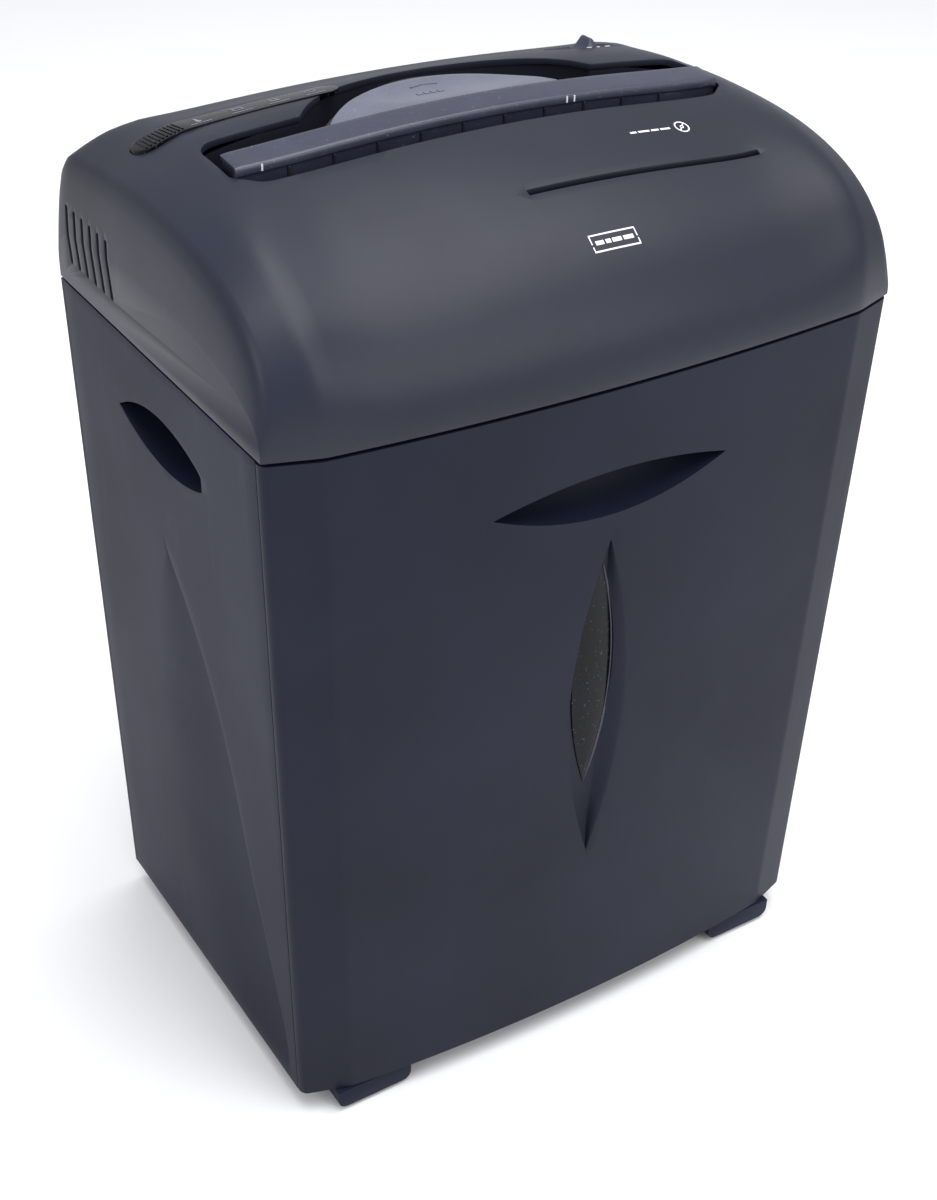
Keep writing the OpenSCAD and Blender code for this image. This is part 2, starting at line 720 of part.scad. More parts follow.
module board_parts() color("gray") translate([board_x, board_y, z_head + 7.6]) {
    translate([10, 8, 0]) cube([18, 15, 16]);
    translate([38, 34, 0]) cylinder(h = 24, r = 8);
    translate([56, 8, 0]) cube([12, 3, 22]);
    translate([60, 28, 0]) cube([20, 12, 12]);
}

gland_r = 6;
module gland_place() {
    translate([-half_w + 60, y_back, z_head + 14]) rotate([90, 0, 0]) children();
}
module power_gland() color("black") gland_place() difference() {
    union() {
        cylinder(h = 10, r = gland_r);
        translate([0, 0, head_t]) cylinder(h = 3, r = gland_r + 2.5);
    }
    translate([0, 0, -1]) cylinder(h = 12, r = gland_r - 2.4);
}

switch_x = half_w - 62;
module bin_switch() color("black") translate([switch_x, y_crease + 14, z_seam - 14]) cube([26, 9, 8]);
module bin_magnet() color("silver") translate([switch_x + 8, y_crease + 1.5, z_seam - 14]) cube([10, 4, 8]);

// ---------- tray and fixings ----------

module head_tray() color([0.12, 0.13, 0.16]) difference() {
    union() {
        translate([0, 0, z_cab_top]) linear_extrude(seam_gap) polygon(plan_points(half_w, 1.8, y_back - 1.8));
        translate([0, 0, z_cab_top - 4]) linear_extrude(4.1)
            polygon([for (p = plan_points(half_w - panel_t, 0, y_back - panel_t - fit))
                [p.x * (half_w - panel_t - fit - 0.3) / (half_w - panel_t), max(p.y, y_crease + 12)]]);
    }
    // shreds fall through here
    translate([-plate_x + 2, plate_front + 12, z_cab_top - 10]) cube([2 * plate_x - 4, plate_rear - plate_front - 24, 20]);
    // room for the drive gear
    translate([plate_x + plate_t + 1, y_rear_shaft - 30, z_cab_top - 10]) cube([gear_plate_x - plate_x - plate_t - 2, 60, 20]);
    boss_places() translate([0, 0, z_cab_top - 10]) cylinder(h = 20, r = screw_r + 0.3);
}

module head_screws() color("silver") boss_places() {
    translate([0, 0, z_cab_top - 4 - screw_head_h]) cylinder(h = screw_head_h, r = screw_head_r);
    translate([0, 0, z_cab_top - 4.2]) cylinder(h = 18, r = screw_r - 0.1);
}

// ---------- cabinet ----------

module grip_outline(grow) {
    intersection() {
        translate([grip_y, grip_z]) lens_shape(grip_w + 2 * grow, grip_h * 0.55 + grow, grip_h * 0.45 + grow);
        translate([grip_y - grip_w / 2 + 8, grip_z - 50]) square([grip_w * 2, 100]);
    }
}

module side_panel(side) {
    difference() {
        union() {
            difference() {
                cabinet_block(0, z_floor, z_cab_top, y_back);
                cabinet_block(panel_t, z_floor - 1, z_cab_top + 1, y_back - panel_t);
            }
            intersection() {
                along_x(side > 0 ? half_w - grip_depth - 2 : -half_w, grip_depth + 2) grip_outline(2);
                cabinet_block(0.5, z_floor, z_cab_top, y_back);
            }
        }
        translate([side > 0 ? half_w - grip_depth : -half_w - 10, 0, 0]) along_x(0, grip_depth + 10) grip_outline(0);
        // only this side is kept
        translate([side > 0 ? -big : -half_w + 22, -big / 2, 0]) cube([big + half_w - 22, big, big]);
        // the bin's front takes the corners, the back panel takes the rear
        translate([-big / 2, -big + y_corner + corner_seam, 0]) cube([big, big, big]);
        translate([-big / 2, y_back - panel_t - 0.05, 0]) cube([big, big, big]);
    }
}

// Flange inside each side panel that the back panel is screwed to
module rear_flange(side) difference() {
    intersection() {
        cabinet_block(panel_t - 0.5, z_floor, z_cab_top, y_back);
        translate([side > 0 ? screw_x - 6 : -screw_x - big + 6, y_back - panel_t - flange_t, z_floor + panel_t + fit])
            cube([big, flange_t - run, z_cab_top - z_floor - panel_t - 6]);
    }
    cabinet_screw_places() cylinder(h = 40, r = screw_r + run, center = true);
}
module side_panel_left() color([0.13, 0.14, 0.2]) {
    side_panel(-1);
    rear_flange(-1);
}
module side_panel_right() color([0.13, 0.14, 0.2]) {
    side_panel(1);
    rear_flange(1);
}

module back_panel() color([0.13, 0.14, 0.2]) difference() {
    intersection() {
        cabinet_block(0, z_floor, z_cab_top, y_back);
        translate([-big / 2, y_back - panel_t, 0]) cube([big, big, big]);
    }
    for (i = [0:7]) translate([-70 + i * 20, y_back, z_seam - 40]) cube([4, 20, 26], center = true);
    cabinet_screw_places() {
        cylinder(h = 40, r = screw_r + run, center = true);
        translate([0, 0, -screw_head_h]) cylinder(h = 10, r = screw_head_r + run);
    }
}

module base_panel() color([0.11, 0.12, 0.15]) intersection() {
    cabinet_block(panel_t + run, z_floor, z_cab_top, y_back - panel_t);
    translate([-big / 2, y_corner + corner_seam, z_floor]) cube([big, big, panel_t]);
}

// Runners on the base panel, one each side of the bucket
module bin_runners() color("dimgray") for (i = [-1, 1])
    translate([i * (bucket_side + 0.4 + runner_w / 2) - runner_w / 2, y_corner + 12, z_floor + panel_t])
        cube([runner_w, body_d - 34, runner_h]);

module foot_blocks(y) for (i = [-1, 1]) translate([i * foot_x, y, 0]) {
    translate([-foot_w / 2 + 5, 0, pad_t]) cube([foot_w - 10, foot_l, foot_h - pad_t]);
    translate([-foot_w / 2, 0, pad_t + 5]) cube([foot_w, foot_l, foot_h - pad_t - 5]);
    for (k = [-1, 1]) translate([k * (foot_w / 2 - 5), foot_l, pad_t + 5]) rotate([90, 0, 0]) cylinder(h = foot_l, r = 5);
}
front_foot_y = y_crease - 1;
rear_foot_y = y_back - foot_l - 6;
module front_feet() color([0.1, 0.11, 0.15]) difference() {
    foot_blocks(front_foot_y);
    // step under the bin's front
    translate([-big / 2, y_crease - 20, z_floor - 0.4]) cube([big, 20 + facet_d + corner_seam + 0.4, 20]);
}
module rear_feet() color([0.1, 0.11, 0.15]) foot_blocks(rear_foot_y);
module foot_pads() color([0.08, 0.08, 0.08]) for (i = [-1, 1], y = [front_foot_y, rear_foot_y])
    translate([i * foot_x, y + foot_l / 2, 0]) cylinder(h = pad_t, r = 10);

screw_x = half_w - side_taper - 14;
module cabinet_screw_places() for (i = [-1, 1], z = [z_floor + 30, z_seam / 2 + 20, z_seam - 60])
    translate([i * screw_x, y_back, z]) rotate([-90, 0, 0]) children();
module cabinet_screws() color("silver") cabinet_screw_places() {
    translate([0, 0, -panel_t - flange_t]) cylinder(h = panel_t + flange_t, r = screw_r);
    translate([0, 0, -screw_head_h]) cylinder(h = screw_head_h, r = screw_head_r);
}

// ---------- bin ----------

// Side view of the handle scoop, whose floor curves up to the back
module scoop_profile(grow) {
    along_x(-scoop_w / 2 - 5, scoop_w + 10) polygon(concat(
        [[y_bow - 20, scoop_z + scoop_up + grow], [y_bow - 20, scoop_z - scoop_down - grow]],
        [for (a = [0:15:90]) [y_bow + (scoop_depth + grow) * sin(a),
            scoop_z + scoop_up - (scoop_up + scoop_down + grow) * cos(a)]],
        [[y_bow + scoop_depth + grow, scoop_z + scoop_up + grow]]));
}

// Plan of the leaf-shaped recess: a flat floor for the window, then a ramp
module leaf_profile() {
    translate([0, 0, leaf_z - leaf_h / 2]) linear_extrude(leaf_h) polygon([
        [-leaf_w, y_bow - 20], [-leaf_w, leaf_floor], [window_x + window_w / 2 + 0.5, leaf_floor],
        [leaf_w / 2 + 0.5, y_bow + fit], [leaf_w, y_bow + fit], [leaf_w, y_bow - 20]]);
}

module bin_front() color([0.125, 0.135, 0.195]) {
    difference() {
        union() {
            difference() {
                cabinet_block(0, z_floor + 0.3, bin_top, y_back);
                cabinet_block(panel_t, z_floor - 1, bin_top + 5, y_back + 5);
            }
            // pockets behind the scoop and the leaf
            intersection() {
                union() {
                    intersection() {
                        along_y(y_bow - 20, scoop_depth + 40)
                            translate([0, scoop_z]) lens_shape(scoop_w + 8, scoop_up + 3, scoop_down + 3);
                        scoop_profile(2);
                    }
                    along_y(y_bow - 20, 20 + leaf_depth + 2.2)
                        translate([0, leaf_z]) rotate(90) lens_shape(leaf_h + 12, leaf_w / 2 + 2.5, leaf_w / 2 + 2.5);
                }
                cabinet_block(0.6, z_floor, bin_top, y_back);
            }
        }
        intersection() {
            along_y(y_bow - 20, scoop_depth + 40)
                translate([0, scoop_z]) lens_shape(scoop_w, scoop_up, scoop_down);
            scoop_profile(0);
        }
        intersection() {
            along_y(y_bow - 20, 40) translate([0, leaf_z]) rotate(90) lens_shape(leaf_h, leaf_w / 2, leaf_w / 2);
            leaf_profile();
        }
        along_y(y_bow - 20, 60)
            translate([window_x, window_z]) rotate(90) lens_shape(window_h, window_w / 2, window_w / 2);
        translate([-big / 2, y_corner + corner_seam - bin_gap, 0]) cube([big, big, big]);
    }
    // bosses that the bucket is screwed to
    difference() {
        intersection() {
            bin_screw_places() translate([0, 0, -60]) cylinder(h = 60, r = screw_r + 2.5);
            cabinet_block(panel_t - 0.5, z_floor, bin_top, y_back);
        }
        bin_screw_places() cylinder(h = 2 * boss_hole, r = screw_r + run, center = true);
    }
}

module bin_window() color([0.06, 0.07, 0.1])
    along_y(leaf_floor - 0.6, 2.2) translate([window_x, window_z]) rotate(90)
        lens_shape(window_h - 0.4, window_w / 2 - 0.15, window_w / 2 - 0.15);

module bin_bucket() color([0.1, 0.105, 0.13]) difference() {
    translate([-bucket_side, bucket_front, bucket_floor])
        cube([2 * bucket_side, bucket_back - bucket_front, bucket_top - bucket_floor]);
    translate([-bucket_side + bucket_t, bucket_wall + bucket_t, bucket_floor + bucket_t])
        cube([2 * (bucket_side - bucket_t), bucket_back - bucket_wall - 2 * bucket_t, big]);
    // the front wall stands back from the scoop's pocket
    translate([-big / 2, bucket_wall - big, bucket_floor + bucket_t]) cube([big, big, big]);
    bin_screw_places() cylinder(h = 20, r = screw_r + run, center = true);
}

// Screws through the bucket's front wall into the bosses
boss_hole = 12;
module bin_screw_places() for (i = [-1, 1], z = [z_floor + 46, z_seam - 78])
    translate([i * (scoop_w / 2 + 27), bucket_wall, z]) rotate([-90, 0, 0]) children();
module bin_screws() color("silver") bin_screw_places() {
    translate([0, 0, 1 - boss_hole]) cylinder(h = boss_hole - 1 + bucket_t, r = screw_r);
    translate([0, 0, bucket_t]) cylinder(h = screw_head_h, r = screw_head_r);
}

head_cover();
control_lens();
indicator_board();
indicator_lamps();
mode_switch();
mode_knob();
throat_front_guide();
throat_rear_guide();
finger_well();
throat_flap();
flap_tab();
flap_pins();
sensor_lever();
sensor_pin();
disc_chute();
head_tray();
cutter_plate_left();
cutter_plate_right();
cutter_tie_rods();
cutter_bearings();
stripper_front();
stripper_rear();
cutter_shaft_front();
cutter_shaft_rear();
cutter_discs_front();
cutter_discs_rear();
timing_gear_front();
timing_gear_rear();
drive_gear();
intermediate_gear();
intermediate_axle();
gear_plate();
motor_can();
motor_armature();
motor_pinion();
motor_fan();
motor_bracket();
thermal_cutout();
main_board();
board_parts();
power_gland();
bin_switch();
head_screws();
side_panel_left();
side_panel_right();
back_panel();
base_panel();
bin_runners();
front_feet();
rear_feet();
foot_pads();
cabinet_screws();
bin_front();
bin_window();
bin_bucket();
bin_magnet();
bin_screws();
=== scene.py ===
import json
import math

import bmesh
import bpy
from mathutils import Matrix, Vector


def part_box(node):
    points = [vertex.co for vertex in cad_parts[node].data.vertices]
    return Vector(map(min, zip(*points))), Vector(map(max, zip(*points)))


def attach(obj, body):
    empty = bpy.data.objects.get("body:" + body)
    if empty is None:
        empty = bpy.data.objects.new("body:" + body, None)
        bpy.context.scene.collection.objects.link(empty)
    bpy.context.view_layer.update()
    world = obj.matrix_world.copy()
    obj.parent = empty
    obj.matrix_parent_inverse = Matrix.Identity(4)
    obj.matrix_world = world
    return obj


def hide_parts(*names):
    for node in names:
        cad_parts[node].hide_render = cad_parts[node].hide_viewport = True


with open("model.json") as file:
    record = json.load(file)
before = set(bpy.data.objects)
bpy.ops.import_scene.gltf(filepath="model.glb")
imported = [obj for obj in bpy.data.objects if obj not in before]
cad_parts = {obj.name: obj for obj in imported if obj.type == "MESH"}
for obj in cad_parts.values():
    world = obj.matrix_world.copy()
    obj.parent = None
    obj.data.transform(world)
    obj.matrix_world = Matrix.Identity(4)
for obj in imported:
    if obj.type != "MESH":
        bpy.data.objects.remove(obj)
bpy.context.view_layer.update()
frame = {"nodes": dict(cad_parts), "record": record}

mm = 0.001


# shader wiring

class Wire:
    # wraps one output socket, so that sums on it add Math nodes
    def __init__(self, tree, socket=None):
        self.tree = tree
        self.socket = socket

    def add(self, kind, settings=None, inputs=None, out=0):
        made = self.tree.nodes.new("ShaderNode" + kind)
        for name, value in (settings or {}).items():
            if name == "stops":
                setStops(made.color_ramp, value)
            else:
                setattr(made, name, value)
        for name, value in (inputs or {}).items():
            if isinstance(value, Wire):
                self.tree.links.new(value.socket, made.inputs[name])
            else:
                made.inputs[name].default_value = value
        return Wire(self.tree, made.outputs[out])

    def maths(self, operation, first, second=0.0):
        return self.add("Math", {"operation": operation}, {0: first, 1: second})

    def __add__(self, other):
        return self.maths("ADD", self, other)

    __radd__ = __add__

    def __mul__(self, other):
        return self.maths("MULTIPLY", self, other)

    __rmul__ = __mul__

    def __sub__(self, other):
        return self.maths("SUBTRACT", self, other)

    def __rsub__(self, other):
        return self.maths("SUBTRACT", other, self)

    def colours(self, first, second):
        # this wire chooses between two colours
        return self.add("Mix", {"data_type": "RGBA"}, {0: self, 6: first, 7: second}, 2)

    def noise(self, place, scale, detail=2.0, roughness=0.5):
        inputs = {"Vector": place, "Scale": scale, "Detail": detail, "Roughness": roughness}
        return self.add("TexNoise", None, inputs)

    def spread(self, low, high):
        # stretches a noise's middle range to 0..1
        return self.add("MapRange", None, {0: self, 1: low, 2: high, 3: 0.0, 4: 1.0})


def setStops(ramp, stops):
    while len(ramp.elements) < len(stops):
        ramp.elements.new(0.5)
    for element, (place, colour) in zip(ramp.elements, stops):
        element.position = place
        element.color = colour


def newMaterial(name, metallic=0.0, constants=None):
    material = bpy.data.materials.new(name)
    material.use_nodes = True
    shader = material.node_tree.nodes["Principled BSDF"]
    shader.inputs["Metallic"].default_value = metallic
    for socket, value in (constants or {}).items():
        shader.inputs[socket].default_value = value
    start = Wire(material.node_tree)
    place = start.add("TexCoord", None, None, 3)
    return material, shader, start, place


def feed(start, shader, socket, wire):
    start.tree.links.new(wire.socket, shader.inputs[socket])


def shade(colour, gain):
    return (colour[0] * gain, colour[1] * gain, colour[2] * gain, 1.0)


def mouldedPlastic(name, colour, roughness, grain, specular, cloud=0.16):
    # eroded-mould plastic: cloudy colour, fine pebble grain, faint rub marks
    material, shader, start, place = newMaterial(name, 0.0, {"Specular IOR Level": specular, "IOR": 1.46})
    clouds = start.noise(place, 9.0, 3.0).spread(0.35, 0.65)
    pebble = start.noise(place, 900.0, 3.0, 0.6)
    speck = start.noise(place, 260.0, 2.0, 0.6).spread(0.62, 0.74)
    stretched = start.add("Mapping", None, {"Vector": place, "Scale": (40.0, 40.0, 6.0)})
    rubs = start.noise(stretched, 3.0, 6.0, 0.7).spread(0.56, 0.8)
    base = clouds.colours(shade(colour, 1.0 - cloud), shade(colour, 1.0 + cloud))
    base = (speck * 0.25).colours(base, shade(colour, 1.5))
    feed(start, shader, "Base Color", base)
    feed(start, shader, "Roughness", roughness - clouds * 0.04 + pebble * 0.06 - rubs * 0.06)
    bump = start.add("Bump", None, {"Strength": grain, "Distance": 0.0002, "Height": pebble})
    feed(start, shader, "Normal", bump)
    return material


def polishedPlastic(name, colour, roughness, specular, coat=0.0):
    # glossy moulding: slow waviness, wipe streaks and a little dust
    constants = {"Specular IOR Level": specular, "Coat Roughness": 0.08, "Coat Weight": coat}
    material, shader, start, place = newMaterial(name, 0.0, constants)
    waves = start.noise(place, 60.0, 2.0)
    wipe = {"Vector": place, "Rotation": (0.0, 0.0, 0.5), "Scale": (12.0, 90.0, 40.0)}
    stretched = start.add("Mapping", None, wipe)
    streaks = start.noise(stretched, 2.0, 5.0, 0.65).spread(0.5, 0.75)
    dust = start.noise(place, 700.0, 2.0, 0.7).spread(0.66, 0.74)
    base = waves.spread(0.3, 0.7).colours(shade(colour, 0.9), shade(colour, 1.1))
    base = (dust * 0.3).colours(base, shade((0.35, 0.36, 0.4), 1.0))
    feed(start, shader, "Base Color", base)
    feed(start, shader, "Roughness", roughness + streaks * 0.06 + dust * 0.2)
    bump = start.add("Bump", None, {"Strength": 0.08, "Distance": 0.001, "Height": waves})
    feed(start, shader, "Normal", bump)
    return material


def rolledMetal(name, colour, roughness, grainAlong, stain=0.3):
    # drawn or ground metal: fine lines along one axis, with an oily stain
    material, shader, start, place = newMaterial(name, 1.0)
    stretch = [700.0, 700.0, 700.0]
    stretch[grainAlong] = 14.0
    lines = start.noise(start.add("Mapping", None, {"Vector": place, "Scale": stretch}), 1.0, 4.0, 0.6)
    stains = start.noise(place, 22.0, 4.0, 0.6).spread(0.4, 0.7)
    base = (stains * stain).colours(shade(colour, 1.05), shade(colour, 0.55))
    feed(start, shader, "Base Color", base)
    feed(start, shader, "Roughness", roughness + lines * 0.16 + stains * 0.08)
    bump = start.add("Bump", None, {"Strength": 0.12, "Distance": 0.0002, "Height": lines})
    feed(start, shader, "Normal", bump)
    return material


def boardLacquer(name):
    # coated circuit board with faint copper tracks
    material, shader, start, place = newMaterial(name, 0.0)
    tracks = start.add("TexBrick", None, {"Vector": place, "Scale": 160.0, "Mortar Size": 0.03}, 1)
    base = (tracks * 0.6).colours((0.012, 0.075, 0.03, 1.0), (0.03, 0.14, 0.06, 1.0))
    feed(start, shader, "Base Color", base)
    feed(start, shader, "Roughness", 0.3 + start.noise(place, 300.0) * 0.2)
    return material


finishes = {
    # the head's navy is lighter than the side's and the bin's by painted sheen, the light that falls on the
    # head's top
    "shell_head": mouldedPlastic("navySatinHeadPaintedSheen", (0.0135, 0.0155, 0.0275), 0.4, 0.05, 0.32),
    "shell_cabinet": mouldedPlastic("navySatinSide", (0.0075, 0.0098, 0.025), 0.5, 0.07, 0.16),
    "shell_bin": mouldedPlastic("navySatinBin", (0.0072, 0.0092, 0.0215), 0.48, 0.07, 0.2),
    "smoked_lens": polishedPlastic("blackLens", (0.0018, 0.002, 0.0038), 0.2, 0.16),
    "smoked_tab": polishedPlastic("smokyTab", (0.085, 0.09, 0.135), 0.2, 0.6, 0.5),
    "flap_plastic": polishedPlastic("flapSatin", (0.032, 0.035, 0.06), 0.3, 0.5),
    "inner_plastic": mouldedPlastic("innerSatin", (0.012, 0.013, 0.022), 0.45, 0.08, 0.35),
    "grey_plastic": mouldedPlastic("sensorGrey", (0.42, 0.43, 0.42), 0.45, 0.1, 0.4, 0.08),
    "black_plastic": mouldedPlastic("deepBlack", (0.006, 0.0065, 0.009), 0.5, 0.15, 0.3),
    "ivory_plastic": mouldedPlastic("ivoryNylon", (0.62, 0.57, 0.42), 0.42, 0.06, 0.45, 0.06),
    "lamp": polishedPlastic("clearLamp", (0.7, 0.72, 0.66), 0.15, 0.5),
    "steel": rolledMetal("drawnSteel", (0.56, 0.57, 0.6), 0.26, 0),
    "cutter_steel": rolledMetal("oiledCutterSteel", (0.28, 0.285, 0.3), 0.32, 0, 0.6),
    "bronze": rolledMetal("sinteredBronze", (0.5, 0.34, 0.14), 0.4, 0, 0.5),
    "copper": rolledMetal("woundCopper", (0.62, 0.3, 0.14), 0.35, 0, 0.4),
    "board": boardLacquer("coatedBoard"),
    "rubber": mouldedPlastic("softRubber", (0.012, 0.012, 0.012), 0.75, 0.25, 0.2),
    "zinc": rolledMetal("zincPlate", (0.6, 0.61, 0.62), 0.3, 2),
}
printInk = mouldedPlastic("whitePrint", (0.72, 0.74, 0.78), 0.5, 0.03, 0.3, 0.05)
paleInk = mouldedPlastic("greyPrint", (0.2, 0.21, 0.25), 0.5, 0.03, 0.3, 0.05)
for part in frame["record"]["subparts"]:
    mesh = frame["nodes"][part["node"]].data
    mesh.materials.clear()
    mesh.materials.append(finishes[part["material_slot"]])
print("materials are on")


# modelling helpers

def keep(name, form, slotName, body, material=None, sharp=35):
    # turns a bmesh into an object that rides on a body
    mesh = bpy.data.meshes.new(name)
    form.to_mesh(mesh)
    form.free()
    mesh.shade_smooth()
    mesh.set_sharp_from_angle(angle=math.radians(sharp))
    thing = bpy.data.objects.new(name, mesh)
    bpy.context.scene.collection.objects.link(thing)
    mesh.materials.append(material or finishes[slotName])
    if body:
        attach(thing, body)
    return thing


def settle(thing, sharp=35):
    # keeps what the modifiers make as the mesh
    graph = bpy.context.evaluated_depsgraph_get()
    mesh = bpy.data.meshes.new_from_object(thing.evaluated_get(graph))
    form = bmesh.new()
    form.from_mesh(mesh)
    bmesh.ops.remove_doubles(form, verts=form.verts, dist=3e-6)
    form.to_mesh(mesh)
    form.free()
    thing.modifiers.clear()
    thing.data = mesh
    mesh.shade_smooth()
    mesh.set_sharp_from_angle(angle=math.radians(sharp))


def carve(thing, tool, operation="DIFFERENCE", sharp=35, crossing=False):
    # crossing is for a form that passes through itself
    cutter = keep("tool", tool, "steel", None)
    change = thing.modifiers.new("carve", "BOOLEAN")
    change.operation = operation
    change.solver = "EXACT"
    change.use_self = crossing
    change.use_hole_tolerant = True
    change.object = cutter
    settle(thing, sharp)
    bpy.data.objects.remove(cutter)


def soften(thing, width, segments=2, angle=35, sharp=35):
    edge = thing.modifiers.new("soften", "BEVEL")
    edge.width = width
    edge.segments = segments
    edge.limit_method = "ANGLE"
    edge.angle_limit = math.radians(angle)
    edge.harden_normals = False
    settle(thing, sharp)


def skin(columns, rows, place):
    # a grid laid over a surface
    form = bmesh.new()
    bmesh.ops.create_grid(form, x_segments=columns, y_segments=rows, size=0.5)
    for vertex in form.verts:
        vertex.co = place(vertex.co.x + 0.5, vertex.co.y + 0.5)
    return form


def outline(form, points, axis, level):
    # one face from an outline in the plane across an axis
    spots = []
    for first, second in points:
        spot = [first, second]
        spot.insert(axis, level)
        spots.append(form.verts.new(spot))
    return form.faces.new(spots)


def prism(points, axis, low, high):
    # an outline drawn out along an axis, in metres
    form = bmesh.new()
    face = outline(form, points, axis, low)
    drawn = bmesh.ops.extrude_face_region(form, geom=[face])
    move = [0.0, 0.0, 0.0]
    move[axis] = high - low
    bmesh.ops.translate(form, verts=[v for v in drawn["geom"] if isinstance(v, bmesh.types.BMVert)], vec=move)
    bmesh.ops.recalc_face_normals(form, faces=form.faces)
    return form


def block(low, high):
    form = bmesh.new()
    bmesh.ops.create_cube(form, size=1.0)
    middle = [(a + b) / 2 for a, b in zip(low, high)]
    bmesh.ops.scale(form, vec=[b - a for a, b in zip(low, high)], verts=form.verts)
    bmesh.ops.translate(form, vec=middle, verts=form.verts)
    return form


def gather(forms):
    # several bmeshes as one
    whole = bmesh.new()
    for form in forms:
        mesh = bpy.data.meshes.new("part")
        form.to_mesh(mesh)
        form.free()
        whole.from_mesh(mesh)
        bpy.data.meshes.remove(mesh)
    return whole


def roundEdges(form, width):
    bmesh.ops.bevel(
        form,
        geom=form.edges[:],
        offset=width,
        offset_type="OFFSET",
        segments=1,
        profile=0.5,
        affect="EDGES",
        clamp_overlap=True,
        material=-1,
    )
    return form


def stadium(width, depth, radius, steps=8):
    # round-cornered rectangle about the origin
    points = []
    for corner in range(4):
        sideX = 1 if corner in (0, 3) else -1
        sideY = 1 if corner < 2 else -1
        for step in range(steps + 1):
            turn = math.radians(90 * corner + 90 * step / steps)
            points.append((
                sideX * (width / 2 - radius) + radius * math.cos(turn),
                sideY * (depth / 2 - radius) + radius * math.sin(turn),
            ))
    return points


def lensPoints(width, up, down, steps=24):
    # two arcs that meet in points at the left and right
    points = []
    for rise, sign, order in ((up, 1, 1), (down, -1, -1)):
        radius = (width * width / 4 + rise * rise) / (2 * rise)
        reach = math.asin(width / 2 / radius)
        for step in range(steps):
            turn = reach * (2 * step / steps - 1) * order
            points.append((radius * math.sin(turn), sign * (radius * math.cos(turn) - radius + rise)))
    return points


def shifted(points, first, second):
    return [(a + first, b + second) for a, b in points]


# the head's form

headLow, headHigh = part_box("head_cover")
seamZ = headLow.z - 0.6 * mm
head = {
    "half": headHigh.x,
    "creaseY": headLow.y + 7 * mm,
    "backY": headHigh.y,
    "rise": 88 * mm,
    "crownDrop": 9 * mm,
    "hipDrop": 16 * mm,
    "hip": 44 * mm,
    "shoulder": 6 * mm,
    "bow": 7 * mm,
    "facetWidth": 24 * mm,
    "facetDepth": 8 * mm,
    "reach": 150 * mm,
    "rearRound": 17 * mm,
    "wall": 2.6 * mm,
}
flat = head["half"] - head["facetWidth"]


def share(x):
    return min(1.0, abs(x) / flat)


def headTop(x):
    past = max(0.0, abs(x) - head["half"] + head["hip"]) / head["hip"]
    edge = max(0.0, abs(x) - head["half"] + head["shoulder"]) / head["shoulder"]
    crown = head["rise"] - head["crownDrop"] * share(x) ** 2 - head["hipDrop"] * past ** 1.7
    return crown * (1 - 0.5 * edge ** 2)


def headFront(x):
    if abs(x) <= flat:
        return -head["bow"] * (1 - share(x) ** 2)
    return head["facetDepth"] * (abs(x) - flat) / head["facetWidth"]


def headPower(x):
    return 2 + 0.6 * share(x) ** 8


def headReach(x):
    return head["reach"] - 25 * mm * share(x) ** 8


def headFall(x):
    return (11.5 - 2 * share(x) ** 2 - 4 * share(x) ** 8) * mm


def headHeight(x, y):
    # height of the outer skin at a place in plan
    depth = y - head["creaseY"]
    if depth < headReach(x) + headFront(x):
        power = headPower(x)
        lean = 1 - (depth - headFront(x)) / headReach(x)
        return headLow.z + headTop(x) * (1 - max(0.0, lean) ** power) ** (1 / power)
    run = head["backY"] - head["rearRound"] - head["creaseY"] - head["reach"]
    return headLow.z + headTop(x) - headFall(x) * max(0.0, (depth - head["reach"]) / run) ** 1.5


def headPoint(u, v, inset):
    # u runs along the width, v from the front seam over the top to the back
    side = 2 * u - 1
    if abs(side) < 0.6:
        x = flat * side / 0.6
    else:
        swing = math.sin(math.pi / 2 * (abs(side) - 0.6) / 0.4)
        x = math.copysign(flat + (head["half"] - flat) * swing, side)
    top = headTop(x) - inset
    power = headPower(x)
    front = head["creaseY"] + headFront(x) + inset
    reach = headReach(x) - inset
    back = head["backY"] - inset
    fall = headFall(x)
    place = x * (head["half"] - inset) / head["half"]
    if v < 0.7:
        turn = math.radians(90 * v / 0.7)
        y = front + reach * (1 - max(0.0, math.cos(turn)) ** (2 / power))
        z = top * math.sin(turn) ** (2 / power)
    elif v < 0.85:
        start = front + reach
        end = back - head["rearRound"]
        way = (v - 0.7) / 0.15
        y = start + (end - start) * way
        z = top - fall * way ** 1.5
    else:
        turn = math.radians(90 - 90 * (v - 0.85) / 0.13)
        if v <= 0.981:
            turn = max(0.0, turn)
            y = back - head["rearRound"] * (1 - math.cos(turn))
            z = top - fall - head["rearRound"] * (1 - math.sin(turn))
        else:
            y = back
            z = (top - fall - head["rearRound"]) * (1 - v) / 0.02
    return (place, y, headLow.z + max(0.0, z))


